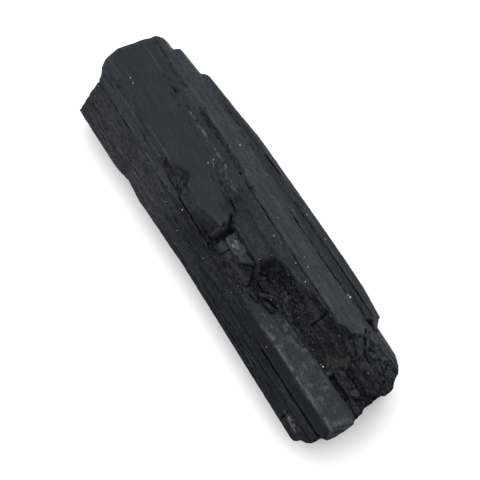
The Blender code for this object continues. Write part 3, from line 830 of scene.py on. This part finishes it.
def worn_relief(x, y, z, break_roughness):
    """Cut the breaks into the heights z, stand the lumps and blocks in them, and cut the grooves and pits.
    Returns z and how broken and how pale each point is."""
    z = z.copy()
    broken, pale = np.zeros(x.shape), np.zeros(x.shape)
    cut_breaks(x, y, z, broken, break_roughness)
    stand_lumps(x, y, z, broken, pale)
    stand_blocks(x, y, z, broken, pale)
    hold_spikes(z)
    cut_grooves(x, y, z)
    return z, broken, pale


def end_cap(rim, end_x):
    """Rings that shrink from the rim to the middle of an end, each at the height of the end's own
    surface."""
    middle = rim.mean(axis=0)
    share = 1 - np.arange(1, END_LINES) / END_LINES
    rings = middle + (rim - middle) * share[:, None, None]
    rings[..., 0] = end_x(rings[..., 1], rings[..., 2])
    middle[0] = float(end_x(middle[1:2], middle[2:3])[0])
    return rings, middle


def hollows(z, relief):
    """How far each point lies below its neighbours: 0 on a ridge, 0.5 on the level, 1 in a groove or
    crack. It is the mean height of the points round about less its own, joined to the striations'
    relief. The finish paints shade where it is high and highlights where it is low."""
    around_mean = (np.roll(z, 2, 0) + np.roll(z, -2, 0) + np.roll(z, 2, 1) + np.roll(z, -2, 1)) / 4
    relief_mean = (np.roll(relief, 3, 1) + np.roll(relief, -3, 1)) / 2
    sunk = np.clip((around_mean - z) / 0.25, -1, 1) + np.clip((relief_mean - relief) / 0.1, -1, 1)
    return np.clip(0.5 + 0.5 * sunk, 0, 1)


def worn_surface(x, striation_depth, break_roughness):
    """The rod at the given x of each point: its y and z, the distance round the section and to the nearest
    long edge, and how broken, pale and hollow each point is."""
    y, z, out_y, out_z, around, to_edge = rod_section(x)
    relief = striation_relief(x, y, z, around, to_edge, striation_depth) * np.clip(z / 1.5, 0, 1)
    y = y + relief * out_y
    z = np.maximum(z + relief * out_z, 0.0)
    upper = upper_lines()
    broken, pale = np.zeros(x.shape), np.zeros(x.shape)
    worn = worn_relief(x[:, upper], y[:, upper], z[:, upper], break_roughness)
    z[:, upper], broken[:, upper], pale[:, upper] = worn
    return y, z, around, to_edge, broken, pale, hollows(z, relief)


@functools.cache
def crystal_surface(striation_depth, break_roughness):
    """The whole closed surface as rings of points from one end's middle to the other's, with its tints. The
    ends' places depend on the worn heights, so the surface is worked out twice."""
    x_lines = stations()
    columns = sum(lines for _, lines, _ in LONG_EDGES)
    straight_x = np.repeat(x_lines[:, None], columns, axis=1)
    y, z, *_ = rod_section(straight_x)
    for _ in range(2):
        x = stretched_to_ends(straight_x, (y[0], z[0]), (y[-1], z[-1]))
        y, z, around, to_edge, broken, pale, hollow = worn_surface(x, striation_depth, break_roughness)

    rings = np.stack([x, y, z], axis=2)
    plated_rings, plated_middle = end_cap(rings[0], plated_end_x)
    broken_rings, broken_middle = end_cap(rings[-1], broken_end_x)
    points = np.concatenate([plated_rings[::-1], rings, broken_rings])
    body_rows = slice(END_LINES - 1, END_LINES - 1 + len(x_lines))

    tints = {name: np.zeros(points.shape[:2]) for name in TINTS}
    tints["broken"][:] = END_BROKEN
    tints["dull"][:] = END_DULL_SHADE
    for name, values in dict(broken=broken, dull=0.0, pale=pale, hollow=hollow).items():
        tints[name][body_rows] = values
    # The tones' pattern goes up with the height as well, so that walls show it too.
    tints["tone"] = facet_tones(points[..., 0], points[..., 1] + 0.8 * points[..., 2])
    tint_surface(tints, points, body_rows, to_edge)
    around_all = np.repeat(around[:1], len(points), axis=0)
    return points, (plated_middle, broken_middle), tints, around_all


def relief_sizes(scene):
    """The settings that the surface depends on."""
    return scene.crystal_sizes.striation_depth, scene.crystal_sizes.break_roughness


# ------------------------------------------------------------------------------------------------------------
# Where the stone is stained, worn, dull or smooth
# ------------------------------------------------------------------------------------------------------------

def raise_tint(tints, name, *shares):
    """Bring a tint up to the highest of itself and some shares."""
    tints[name] = np.maximum.reduce([tints[name], *shares])


def lay_patches(tints, x, y, z):
    """Lay the patches, seen from above: each covers 1.6 less its bare share and less away, plus patchy times
    noise, held between 0 and 1, with away the square of the distance from its middle in half sizes."""
    for number, (centre, half, turn, patchy, bare, adds) in enumerate(PATCHES.values()):
        along, across = turned(x - centre[0], y - centre[1], turn)
        away = (along / half[0]) ** 2 + (across / half[1]) ** 2
        noise = smooth_noise(x / 0.5, y / 0.25, SEEDS["patches"] + number)
        blotch = np.clip(1.6 - bare - away + patchy * noise, 0, 1)
        blotch *= (z > 6) * (away < 2.2)
        for name, added in adds.items():
            raise_tint(tints, name, added * blotch)


def wear_edges(tints, x, y, z, body_rows, to_edge):
    """Rub the stone white: a bell curve across the prism's front edge, a narrower one across every upper long
    edge, which is also a painted highlight along the edges, and clouds of frosted stone on the prism's top."""
    rubbed = bell(y + 6.98, 0.4) * above(x, 16, 2) * (z > 13.6)
    rubbed *= np.clip(0.7 + 1.1 * smooth_noise(x / 1.1, y / 0.4, SEEDS["rubbed_strip"]), 0, 1)
    # Every upper long edge: rubbed lighter, partly a painted highlight.
    worn = np.zeros(x.shape)
    worn[body_rows] = bell(to_edge, 0.16) * above(z[body_rows], 11, 3)
    worn *= np.clip(0.35 + smooth_noise(x / 1.5, y / 1.5, SEEDS["worn_edges"]), 0, 1)
    clouds = noise_layers(x, y, ((1.2, 1.3, 0.6), (0.9, 0.35, 0.25)), SEEDS["frost"]) - 0.2
    frosted = (x > 14) & between(y, -7.6, -2.6) & between(z, 13.4, 14.8)
    raise_tint(tints, "wear", 0.62 * rubbed, 0.2 * worn, 0.36 * (frosted * np.clip(clouds, 0, 1)))


def tint_surface(tints, points, body_rows, to_edge):
    """Lay the patches and the rubbed white stone with its painted highlights, then tint the brownish front
    side and the strip above it, the dull stretches of the front, the outer back and the low band, painted
    darker as shade, and the smooth plate, prism top and prism side."""
    x, y, z = np.moveaxis(points, 2, 0)
    lay_patches(tints, x, y, z)
    wear_edges(tints, x, y, z, body_rows, to_edge)

    # The brownish front is also painted darker, as shade of the side turned away from the light.
    front = below(y, -6.0, 1.0) * below(z, 16.4, 1.2) * ((x < 9) | (y < -7.5))
    strip = 0.35 * below(y, -5.5, 0.5) * below(x, -7, 3)
    raise_tint(tints, "warm", front, strip)

    # The dull stretches are matt, and painted darker as shade.
    prism_side = (x > 13) & between(y, -9.0, -7.4) & (z > 11.4)
    shaded_dull_front = 0.68 * front * above(x, -14, 8) * (1 - 0.25 * prism_side)
    outer = 0.72 * above(y, 7.2, 0.8) + 0.15 * above(y, 9.8, 0.8)
    low_band = 0.55 * above(x, -7, 2) * below(y, 3.3, 0.3) * (y > -2.9) * (z > 16.6)
    raise_tint(tints, "dull", shaded_dull_front, outer, low_band)

    plate_edge = 2.6 + 1.9 * below(x, -6, 4)
    on_plate = above(z, 16.75, 0.2) * below(y, plate_edge, 1.0) * (y > -6.3) * below(x, 0.5, 5.0)
    on_prism = (x > 9.5) & between(y, -7.7, -2.6) & between(z, 13.4, 14.9)
    smooth = np.maximum(on_plate, 0.7 * on_prism + prism_side)
    tints["plate"] = np.clip(smooth * (1 - tints["broken"]), 0, 1)


# ------------------------------------------------------------------------------------------------------------
# Meshes
# ------------------------------------------------------------------------------------------------------------

def tube_faces(rows, columns):
    """Corner numbers of a tube of rings closed by a fan to one point at each end. The two points come
    last."""
    i, j = np.meshgrid(np.arange(rows - 1), np.arange(columns), indexing="ij")
    after = (j + 1) % columns
    here, there = i * columns, (i + 1) * columns
    quads = np.stack([here + j, here + after, there + after, there + j], -1)
    k = np.arange(columns)
    last = (rows - 1) * columns
    first_fan = np.stack([np.full(columns, rows * columns), (k + 1) % columns, k], -1)
    last_fan = np.stack([np.full(columns, rows * columns + 1), last + k, last + (k + 1) % columns], -1)
    return quads.reshape(-1, 4), np.concatenate([first_fan, last_fan])


def enclosed_volume(points, quads, triangles):
    """Signed volume inside the faces, by adding the tetrahedra from the origin to each triangle."""
    corners = np.concatenate([quads[:, [0, 1, 2]], quads[:, [0, 2, 3]], triangles])
    a, b, c = points[corners[:, 0]], points[corners[:, 1]], points[corners[:, 2]]
    return float(np.einsum("ij,ij->i", a, np.cross(b, c)).sum() / 6)


def write_mesh(name, points, quads, triangles):
    """A mesh object at the origin from points in millimetres, its faces turned outwards."""
    if enclosed_volume(points, quads, triangles) < 0:
        quads, triangles = quads[:, ::-1], triangles[:, ::-1]
    corners = np.concatenate([quads.ravel(), triangles.ravel()])
    mesh = bpy.data.meshes.new(name)
    mesh.vertices.add(len(points))
    mesh.vertices.foreach_set("co", (points * MM).astype(np.float32).ravel())
    mesh.loops.add(len(corners))
    mesh.loops.foreach_set("vertex_index", corners.astype(np.int32))
    sides = np.concatenate([np.full(len(quads), 4), np.full(len(triangles), 3)])
    mesh.polygons.add(len(sides))
    mesh.polygons.foreach_set("loop_start", (np.cumsum(sides) - sides).astype(np.int32))
    mesh.update(calc_edges=True)
    mesh.validate()
    obj = bpy.data.objects.new(name, mesh)
    bpy.context.scene.collection.objects.link(obj)
    return obj


def set_attribute(mesh, name, values):
    """Store one number per point."""
    attribute = mesh.attributes.new(name, "FLOAT", "POINT")
    attribute.data.foreach_set("value", values.astype(np.float32).ravel())


def set_uv(mesh, along, around):
    """Lay the UV map out in decimetres: along the rod, and round its section."""
    corners = np.empty(len(mesh.loops), np.int32)
    mesh.loops.foreach_get("vertex_index", corners)
    uv = np.stack([along[corners], around[corners]], axis=1) / 100
    mesh.uv_layers.new(name="rod").data.foreach_set("uv", uv.astype(np.float32).ravel())


def pebbles(centres, half_sizes, seed):
    """Small closed grains as one mesh: for each, four rings of six points between two poles, at centre +
    half size times (cos lat cos lon, cos lat sin lon, sin lat), each point pushed in or out a little."""
    rng = np.random.default_rng(seed)
    rings, segments = 4, 6
    latitude = np.linspace(-0.5, 0.5, rings + 2)[1:-1] * math.pi
    longitude = np.arange(segments) * 2 * math.pi / segments
    lat, lon = np.meshgrid(latitude, longitude, indexing="ij")
    unit = np.stack([np.cos(lat) * np.cos(lon), np.cos(lat) * np.sin(lon), np.sin(lat)], axis=-1)
    unit = np.concatenate([unit.reshape(-1, 3), [[0, 0, -1], [0, 0, 1]]])
    push = rng.uniform(0.65, 1.15, (len(centres), len(unit), 1))
    points = centres[:, None, :] + half_sizes[:, None, :] * unit * push
    quads, triangles = tube_faces(rings, segments)
    offsets = np.arange(len(centres))[:, None, None] * len(unit)
    return points.reshape(-1, 3), (quads + offsets).reshape(-1, 4), (triangles + offsets).reshape(-1, 3)


def point_under(points, places):
    """The ring and line of the upper point that is nearest to each (x, y)."""
    upper = upper_lines()
    top = points[:, upper]
    ring = np.abs(places[:, :1] - top[None, :, :, 0].mean(axis=2)).argmin(axis=1)
    line = np.abs(top[ring][:, :, 1] - places[:, 1:2]).argmin(axis=1)
    return ring, line + upper.start


# ------------------------------------------------------------------------------------------------------------
# Materials
# ------------------------------------------------------------------------------------------------------------

class Nodes:
    """A new material and short calls for building its nodes. A value is a number, a colour or a socket."""

    def __init__(self, name):
        self.material = bpy.data.materials.new(name)
        self.material.use_nodes = True
        self.tree = self.material.node_tree
        self.shader = self.tree.nodes["Principled BSDF"]

    def put(self, socket, value):
        """Link a socket to a socket, or set a number or colour on it."""
        if isinstance(value, bpy.types.NodeSocket):
            self.tree.links.new(value, socket)
        else:
            socket.default_value = value

    def finish(self, values):
        """Put values on the shader's sockets, given by name. Returns the material."""
        for name, value in values.items():
            self.put(self.shader.inputs[name], value)
        return self.material

    def attribute(self, name):
        """A number that is stored at each point of the mesh."""
        node = self.tree.nodes.new("ShaderNodeAttribute")
        node.attribute_name = name
        return node.outputs["Fac"]

    def noise(self, kind, scale, detail, roughness=0.55):
        """Noise of the Object or UV coordinates times a scale on each axis."""
        coordinates = self.tree.nodes.new("ShaderNodeTexCoord")
        mapping = self.tree.nodes.new("ShaderNodeMapping")
        mapping.inputs["Scale"].default_value = scale
        self.put(mapping.inputs["Vector"], coordinates.outputs[kind])
        node = self.tree.nodes.new("ShaderNodeTexNoise")
        node.inputs["Scale"].default_value = 1.0
        node.inputs["Detail"].default_value = detail
        node.inputs["Roughness"].default_value = roughness
        self.put(node.inputs["Vector"], mapping.outputs["Vector"])
        return node.outputs["Fac"]

    def math(self, operation, a, b, clamp=False):
        """One operation on two values, held between 0 and 1 if clamp is set."""
        node = self.tree.nodes.new("ShaderNodeMath")
        node.operation = operation
        node.use_clamp = clamp
        self.put(node.inputs[0], a)
        self.put(node.inputs[1], b)
        return node.outputs["Value"]

    def times(self, *values):
        """The product of the values."""
        return functools.reduce(functools.partial(self.math, "MULTIPLY"), values)

    def plus(self, *values):
        """The sum of the values."""
        return functools.reduce(functools.partial(self.math, "ADD"), values)

    def spread(self, value, low, high, to_low=0.0, to_high=1.0):
        """Stretch the range low..high to to_low..to_high, held at both ends."""
        node = self.tree.nodes.new("ShaderNodeMapRange")
        for name, number in zip(("From Min", "From Max", "To Min", "To Max"), (low, high, to_low, to_high)):
            node.inputs[name].default_value = number
        self.put(node.inputs["Value"], value)
        return node.outputs["Result"]

    def mix(self, share, a, b):
        """Colour a with a share of colour b over it. A plain colour is given without alpha."""
        node = self.tree.nodes.new("ShaderNodeMix")
        node.data_type = "RGBA"
        self.put(node.inputs["Factor"], share)
        for name, value in (("A", a), ("B", b)):
            socket = isinstance(value, bpy.types.NodeSocket)
            self.put(node.inputs[name], value if socket else (*value, 1.0))
        return node.outputs["Result"]

    def bump(self, *reliefs):
        """A normal from reliefs on top of each other: (height, strength, distance in metres)."""
        normal = None
        for height, strength, distance in reliefs:
            node = self.tree.nodes.new("ShaderNodeBump")
            node.inputs["Strength"].default_value = strength
            node.inputs["Distance"].default_value = distance
            self.put(node.inputs["Height"], height)
            if normal is not None:
                self.put(node.inputs["Normal"], normal)
            normal = node.outputs["Normal"]
        return normal


def tourmaline_finish(colours):
    """Black tourmaline: satin faces ruled with fine lines along the rod, dull brown-black breaks, rubbed
    edges. The colours are laid over each other in the order of the table, each by its share."""
    n = Nodes("black_tourmaline_finish")
    broken, pale, wear, warm, dull, olive, plate, hollow, tone = (n.attribute(name) for name in TINTS)

    lines = n.noise("UV", (9.0, 300.0, 1.0), detail=4.0, roughness=0.6)
    wide_lines = n.noise("UV", (8.0, 120.0, 1.0), detail=3.0, roughness=0.6)
    mottle = n.noise("Object", (180.0, 900.0, 900.0), detail=5.0, roughness=0.7)
    speckle = n.noise("Object", (1500.0, 2200.0, 2200.0), detail=3.0, roughness=0.7)
    grain = n.noise("Object", (2600.0, 2600.0, 2600.0), detail=3.0, roughness=0.7)
    crust = n.noise("Object", (700.0, 2000.0, 2000.0), detail=5.0, roughness=0.75)
    open_face = n.math("SUBTRACT", 1.0, n.times(plate, 0.7), clamp=True)
    speckled = n.spread(speckle, 0.35, 0.6)

    # Painted light and shade of broken stone: facets picked at random by the tone are lit or shaded.
    painted_lit_facets = n.times(n.spread(tone, 0.5, 1.0), n.spread(broken, 0.2, 0.7))
    painted_shaded_facets = n.times(n.spread(tone, 0.45, 0.0), n.spread(broken, 0.2, 0.7, 0.0, 0.95))
    unbroken = n.times(open_face, n.spread(broken, 0.0, 0.8, 1.0, 0.35))
    clouds = n.times(n.spread(mottle, 0.4, 0.62), speckled, unbroken, n.spread(dull, 0.0, 1.0, 1.0, 0.4))
    pale_lines = n.times(n.spread(lines, 0.52, 0.7), n.spread(n.plus(broken, dull), 0.0, 0.8, 0.55, 0.0))
    dark_lines = n.times(n.spread(wide_lines, 0.48, 0.3), n.spread(broken, 0.0, 0.5, 0.4, 0.0))
    # Painted highlight: ridges of the surface lightened, more on broken stone.
    painted_ridge_highlights = n.times(n.spread(hollow, 0.42, 0.0), speckled, n.spread(broken, 0.2, 0.8, 0.45, 0.8))
    # Rubbed white stone and painted highlights, broken up by grain.
    worn = n.math("MULTIPLY", wear, n.spread(grain, 0.3, 0.65, 0.2, 1.0), clamp=True)
    flecks = n.math("MULTIPLY", pale, n.spread(crust, 0.35, 0.62), clamp=True)

    stone = colours.face
    for share, colour in (
        (plate, colours.plate),
        # Brown front, partly painted shade:
        (warm, colours.brown_shaded_flank),
        # Painted shade of the dull stretches and the ends:
        (dull, colours.shaded_dull_stone),
        (n.spread(broken, 0.1, 0.8), colours.break_floor),
        # Painted highlights and painted shade of the broken facets:
        (painted_lit_facets, colours.break_facet_highlight),
        (painted_shaded_facets, colours.shade_and_dark_marks),
        (olive, colours.olive_stain),
        (clouds, colours.dust_and_ridge_highlight),
        (n.times(pale_lines, open_face), colours.dust_and_ridge_highlight),
        (n.times(dark_lines, open_face), colours.shade_and_dark_marks),
        # Painted shade: grooves and cracks darkened by how sunk they lie.
        (n.spread(hollow, 0.55, 0.95, 0.0, 0.9), colours.shade_and_dark_marks),
        # Painted highlights on the ridges:
        (painted_ridge_highlights, colours.dust_and_ridge_highlight),
        # Rubbed stone and painted highlights:
        (n.times(worn, 0.75), colours.rubbed),
        (n.times(n.spread(grain, 0.5, 0.72, 0.0, 0.34), open_face), colours.dust_and_ridge_highlight),
        (n.times(n.spread(grain, 0.5, 0.3, 0.0, 0.45), open_face), colours.shade_and_dark_marks),
        (flecks, colours.pale_grain),
    ):
        stone = n.mix(share, stone, colour)

    matt = n.plus(
        n.spread(broken, 0.0, 1.0, 0.38, 0.6),
        n.spread(warm, 0.0, 0.7, 0.0, 0.3),
        n.spread(dull, 0.0, 1.0, 0.0, 0.3),
        n.spread(mottle, 0.3, 0.7, -0.06, 0.09),
    )
    matt = n.math("ADD", matt, n.spread(lines, 0.35, 0.65, -0.05, 0.06), clamp=True)
    ruled = n.plus(n.times(wide_lines, 1.6), lines)
    ruled = n.times(ruled, n.spread(n.plus(broken, plate), 0.0, 1.0, 1.0, 0.12))
    crusted = n.times(crust, n.spread(broken, 0.0, 1.0, 0.06, 1.0))
    relief = n.bump(
        (ruled, 0.8, 0.00022),
        (grain, 0.35, 0.00006),
        (n.times(mottle, open_face), 0.6, 0.00018),
        (crusted, 0.9, 0.0004),
    )
    return n.finish({"Base Color": stone, "Roughness": matt, "IOR": 1.18, "Metallic": 0.0, "Normal": relief})


def dust_finish(colours):
    """White mineral dust: matt, a little uneven in tone."""
    n = Nodes("white_dust")
    tone = n.noise("Object", (900.0, 900.0, 900.0), detail=2.0)
    return n.finish({
        "Base Color": n.mix(tone, colours.dust_dark, colours.dust_light),
        "Roughness": n.spread(tone, 0.3, 0.7, 0.6, 0.85),
        "Normal": n.bump((tone, 0.3, 0.00003)),
    })


def crumb_finish(colours):
    """Loose crumbs: from near black stone to grey, each a little different, with a rough face."""
    n = Nodes("stone_crumbs")
    tone = n.noise("Object", (1300.0, 1300.0, 1300.0), detail=2.0)
    return n.finish({
        "Base Color": n.mix(n.spread(tone, 0.38, 0.68), colours.crumb_dark, colours.crumb_light),
        "Roughness": n.spread(tone, 0.3, 0.7, 0.5, 0.8),
        "IOR": 1.3,
        "Normal": n.bump((tone, 0.3, 0.00003)),
    })


def floor_finish(colours):
    """Pale matt studio paper with a barely uneven tone."""
    n = Nodes("studio_paper")
    tone = n.noise("Object", (30.0, 30.0, 30.0), detail=2.0)
    darker = tuple(0.985 * part for part in colours.floor)
    return n.finish({
        "Base Color": n.mix(tone, darker, colours.floor),
        "Roughness": n.spread(tone, 0.3, 0.7, 0.9, 0.95),
        "IOR": 1.2,
    })


# ------------------------------------------------------------------------------------------------------------
# Settings
# ------------------------------------------------------------------------------------------------------------

def colour_property(name, description, default):
    """A linear colour without alpha."""
    return FloatVectorProperty(
        name=name, description=description, default=default, subtype="COLOR", size=3, min=0.0, max=1.0
    )


class CrystalSizes(PropertyGroup):
    """How the surface is worn"""
    striation_depth: FloatProperty(
        name="Striation depth", description="Depth of the lines along the faces, in millimetres",
        default=USUAL_STRIATION_DEPTH, min=0.0, max=0.5,
    )
    break_roughness: FloatProperty(
        name="Break roughness", default=1.0, min=0.0, max=2.0, subtype="FACTOR",
        description="How far the facets of the broken hollows stand out of line, as a factor",
    )
    fine_dust: IntProperty(
        name="Fine dust", description="Number of fine dust grains scattered over the upper side",
        default=70, min=0, max=1500,
    )


class CrystalColours(PropertyGroup):
    """The colours of the stone, its dust and the floor"""
    face: colour_property("Face", "Satin prism faces", (0.0125, 0.0172, 0.0225))
    plate: colour_property("Plate", "Smooth bluish top plate", (0.0060, 0.0097, 0.0145))
    # Brown tint of the front side, painted darker than the faces as shade.
    brown_shaded_flank: colour_property("Flank", "Brownish striated front side", (0.0048, 0.0046, 0.0088))
    # Painted shade: the darker matt stretches of the sides and the ends.
    shaded_dull_stone: colour_property("Dull stone", "Darker stretches of the sides", (0.0013, 0.0020, 0.0042))
    break_floor: colour_property("Break floor", "Dull brown-black broken stone", (0.0034, 0.0032, 0.0051))
    # Painted highlight: the lighter facets of broken stone.
    break_facet_highlight: colour_property("Break light", "Lighter facets of broken stone", (0.0165, 0.0162, 0.0212))
    olive_stain: colour_property("Olive stain", "Olive-brown mineral stain", (0.0180, 0.0160, 0.0110))
    # Painted shade in grooves, cracks and dark facets; also the stone's dark lines and specks.
    shade_and_dark_marks: colour_property("Crevice", "Bottoms of grooves and cracks", (0.0012, 0.0012, 0.0017))
    # Thin dust on the faces, and the colour of the painted highlights on the ridges.
    dust_and_ridge_highlight: colour_property("Dust film", "Thin film of dust on the faces", (0.030, 0.0325, 0.0367))
    # Rubbed whitish stone, and the colour of the painted highlights on edges, ledges and facets.
    rubbed: colour_property("Rubbed edge", "Whitish worn edges", (0.133, 0.133, 0.130))
    # Glassy grains and whitish crust, and the colour of the painted glints and of the knob's painted shine.
    pale_grain: colour_property("Pale grain", "Glassy grains and whitish crust", (0.25, 0.25, 0.24))
    dust_dark: colour_property("Dust, dark", "Greyer dust grains", (0.18, 0.18, 0.178))
    dust_light: colour_property("Dust, light", "Lighter dust grains", (0.46, 0.46, 0.455))
    crumb_dark: colour_property("Crumbs, dark", "Darkest loose crumbs", (0.0066, 0.0066, 0.0083))
    crumb_light: colour_property("Crumbs, light", "Lightest loose crumbs", (0.038, 0.038, 0.042))
    floor: colour_property("Floor", "Pale studio paper", (0.84, 0.84, 0.84))


class StudioSettings(PropertyGroup):
    """Where the camera stands and how bright the lights are"""
    azimuth: FloatProperty(
        name="Azimuth", description="Direction of the camera round the crystal", default=math.radians(58.6),
        subtype="ANGLE",
    )
    elevation: FloatProperty(
        name="Elevation", description="Height of the camera over the floor", default=math.radians(70.0),
        subtype="ANGLE",
    )
    focal_length: FloatProperty(
        name="Focal length", description="Focal length of the camera in millimetres", default=600.0, min=20.0
    )
    distance: FloatProperty(
        name="Distance", description="From the camera to the crystal", default=1.373, subtype="DISTANCE",
        unit="LENGTH",
    )
    aim: FloatVectorProperty(
        name="Aim", description="Point in the middle of the picture", default=(-0.0006, -0.0015, 0.0094),
        size=3, subtype="TRANSLATION", unit="LENGTH",
    )
    top_power: FloatProperty(
        name="Top light", description="Power of the large soft light overhead, in watts", default=1.2, min=0.0
    )
    back_power: FloatProperty(
        name="Back light", description="Power of the soft light behind, in watts", default=0.36, min=0.0
    )
    sky: FloatProperty(
        name="Sky", description="Brightness of the even light from all round", default=1.46, min=0.0
    )


# ------------------------------------------------------------------------------------------------------------
# Operators
# ------------------------------------------------------------------------------------------------------------

class CRYSTAL_OT_grow_rod(Operator):
    """Grow the striated rod with its breaks, grooves and worn edges"""
    bl_idname = "crystal.grow_rod"
    bl_label = "Grow Rod"

    def execute(self, context):
        scene = context.scene
        points, middles, tints, around = crystal_surface(*relief_sizes(scene))
        flat = np.concatenate([points.reshape(-1, 3), middles])
        rod = write_mesh("fine_tourmaline_rod", flat, *tube_faces(*points.shape[:2]))
        if len(rod.data.vertices) != len(flat):
            raise RuntimeError("the rod's mesh lost points")
        for name, values in tints.items():
            ends = [values[0].mean(), values[-1].mean()]
            set_attribute(rod.data, name, np.append(values.ravel(), ends))
        set_uv(rod.data, flat[:, 0], np.append(around.ravel(), [0.0, 0.0]))
        rod.data.shade_smooth()
        rod.data.set_sharp_from_angle(angle=SHARP_ANGLE)
        rod.data.materials.append(tourmaline_finish(scene.crystal_colours))
        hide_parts(NODE)
        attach(rod, "root")
        return {"FINISHED"}


class CRYSTAL_OT_settle_dust(Operator):
    """Settle bright dust grains and fine dust on the upper side"""
    bl_idname = "crystal.settle_dust"
    bl_label = "Settle Dust"

    def execute(self, context):
        scene = context.scene
        points, _, _, _ = crystal_surface(*relief_sizes(scene))
        rng = np.random.default_rng(SEEDS["dust"])
        count = scene.crystal_sizes.fine_dust
        scattered = [rng.uniform(*ends, count) for ends in (*DUST_FIELD, FINE_DUST_SIZE)]
        grains = np.concatenate([np.array(DUST_GRAINS), np.stack(scattered, axis=1)])
        height = points[point_under(points, grains[:, :2])][:, 2]
        centres = np.column_stack([grains[:, :2], height + GRAIN_LIFT * grains[:, 2]])
        half_sizes = grains[:, 2:3] * rng.uniform(*GRAIN_SHAPE, (len(grains), 3))
        dust = write_mesh("dust_grains", *pebbles(centres, half_sizes, SEEDS["dust"] + 1))
        dust.data.shade_smooth()
        dust.data.materials.append(dust_finish(scene.crystal_colours))
        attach(dust, "root")
        return {"FINISHED"}


class CRYSTAL_OT_drop_crumbs(Operator):
    """Drop loose crumbs of stone into the broken hollows"""
    bl_idname = "crystal.drop_crumbs"
    bl_label = "Drop Crumbs"

    def execute(self, context):
        scene = context.scene
        points, _, tints, _ = crystal_surface(*relief_sizes(scene))
        rng = np.random.default_rng(SEEDS["crumbs"])
        places = np.concatenate([
            np.array(centre) + rng.uniform(-1, 1, (count, 2)) * np.array(half)
            for centre, half, count in CRUMB_BEDS.values()
        ])
        ring, line = point_under(points, places)
        stays = tints["broken"][ring, line] > 0.5
        if not stays.any():
            raise RuntimeError("no crumb fell on broken stone")
        places, height = places[stays], points[ring, line, 2][stays]
        smallest, more = CRUMB_SIZE
        size = smallest + more * rng.random((len(places), 1)) ** 3
        centres = np.column_stack([places, height + CRUMB_LIFT * size[:, 0]])
        half_sizes = size * rng.uniform(*CRUMB_SHAPE, (len(places), 3))
        crumbs = write_mesh("stone_crumbs", *pebbles(centres, half_sizes, SEEDS["crumbs"] + 1))
        crumbs.data.materials.append(crumb_finish(scene.crystal_colours))
        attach(crumbs, "root")
        return {"FINISHED"}


class CRYSTAL_OT_set_studio(Operator):
    """Lay the pale floor and set the soft lights and the camera"""
    bl_idname = "crystal.set_studio"
    bl_label = "Set Studio"

    def execute(self, context):
        scene = context.scene
        studio = scene.crystal_studio
        lay_floor(scene)
        soft_light("top_light", studio.top_power, **TOP_LIGHT)
        soft_light("back_light", studio.back_power, **BACK_LIGHT)
        scene.world = bpy.data.worlds.new("studio_sky")
        scene.world.use_nodes = True
        background = scene.world.node_tree.nodes["Background"]
        background.inputs["Color"].default_value = (1.0, 1.0, 1.0, 1.0)
        background.inputs["Strength"].default_value = studio.sky
        place_camera(scene, studio)
        scene.view_settings.view_transform = "Standard"
        return {"FINISHED"}


def lay_floor(scene):
    """A square sheet just under the crystal."""
    corners = [(FLOOR_HALF * x, FLOOR_HALF * y, -FLOOR_DROP) for x, y in ((-1, -1), (1, -1), (1, 1), (-1, 1))]
    mesh = bpy.data.meshes.new("studio_floor")
    mesh.from_pydata((np.array(corners) * MM).tolist(), [], [(0, 1, 2, 3)])
    floor = bpy.data.objects.new("studio_floor", mesh)
    scene.collection.objects.link(floor)
    mesh.materials.append(floor_finish(scene.crystal_colours))


def aimed(obj, place, target):
    """Stand an object at a place, looking at a target with its top up."""
    obj.location = place
    obj.rotation_euler = (Vector(target) - Vector(place)).to_track_quat("-Z", "Y").to_euler()


def soft_light(name, power, place, size):
    """A square area light aimed at the crystal."""
    light = bpy.data.lights.new(name, "AREA")
    light.size = size
    light.energy = power
    lamp = bpy.data.objects.new(name, light)
    bpy.context.scene.collection.objects.link(lamp)
    aimed(lamp, place, LIGHT_AIM)


def place_camera(scene, studio):
    """A long lens on a circle round the aim point: at the aim point plus the distance times
    (sin azimuth cos elevation, -cos azimuth cos elevation, sin elevation)."""
    camera = bpy.data.cameras.new("studio_camera")
    camera.lens = studio.focal_length
    camera.clip_start, camera.clip_end = CAMERA_SEES
    holder = bpy.data.objects.new("studio_camera", camera)
    scene.collection.objects.link(holder)
    flat = math.cos(studio.elevation)
    sideways, forward = math.sin(studio.azimuth) * flat, -math.cos(studio.azimuth) * flat
    away = Vector((sideways, forward, math.sin(studio.elevation)))
    aim = Vector(studio.aim)
    aimed(holder, aim + away * studio.distance, aim)
    scene.camera = holder


class CRYSTAL_PT_panel(Panel):
    """The crystal's steps and settings"""
    bl_idname = "CRYSTAL_PT_panel"
    bl_label = "Tourmaline Crystal"
    bl_space_type = "VIEW_3D"
    bl_region_type = "UI"
    bl_category = "Crystal"

    def draw(self, context):
        layout = self.layout
        for setting in SETTINGS:
            group = getattr(context.scene, setting)
            box = layout.box()
            for name in group.__annotations__:
                box.prop(group, name)
        for operator in OPERATORS:
            layout.operator(operator.bl_idname)


OPERATORS = (CRYSTAL_OT_grow_rod, CRYSTAL_OT_settle_dust, CRYSTAL_OT_drop_crumbs, CRYSTAL_OT_set_studio)
SETTINGS = {
    "crystal_sizes": CrystalSizes,
    "crystal_colours": CrystalColours,
    "crystal_studio": StudioSettings,
}


def register():
    """Register the settings, operators and panel."""
    for name, group in SETTINGS.items():
        bpy.utils.register_class(group)
        setattr(bpy.types.Scene, name, PointerProperty(type=group))
    for operator in OPERATORS:
        bpy.utils.register_class(operator)
    bpy.utils.register_class(CRYSTAL_PT_panel)


def unregister():
    """Undo register."""
    bpy.utils.unregister_class(CRYSTAL_PT_panel)
    for operator in reversed(OPERATORS):
        bpy.utils.unregister_class(operator)
    for name, group in reversed(SETTINGS.items()):
        delattr(bpy.types.Scene, name)
        bpy.utils.unregister_class(group)


def main():
    """Build everything in order."""
    register()
    bpy.ops.crystal.grow_rod()
    bpy.ops.crystal.settle_dust()
    bpy.ops.crystal.drop_crumbs()
    bpy.ops.crystal.set_studio()


if __name__ == "__main__":
    main()
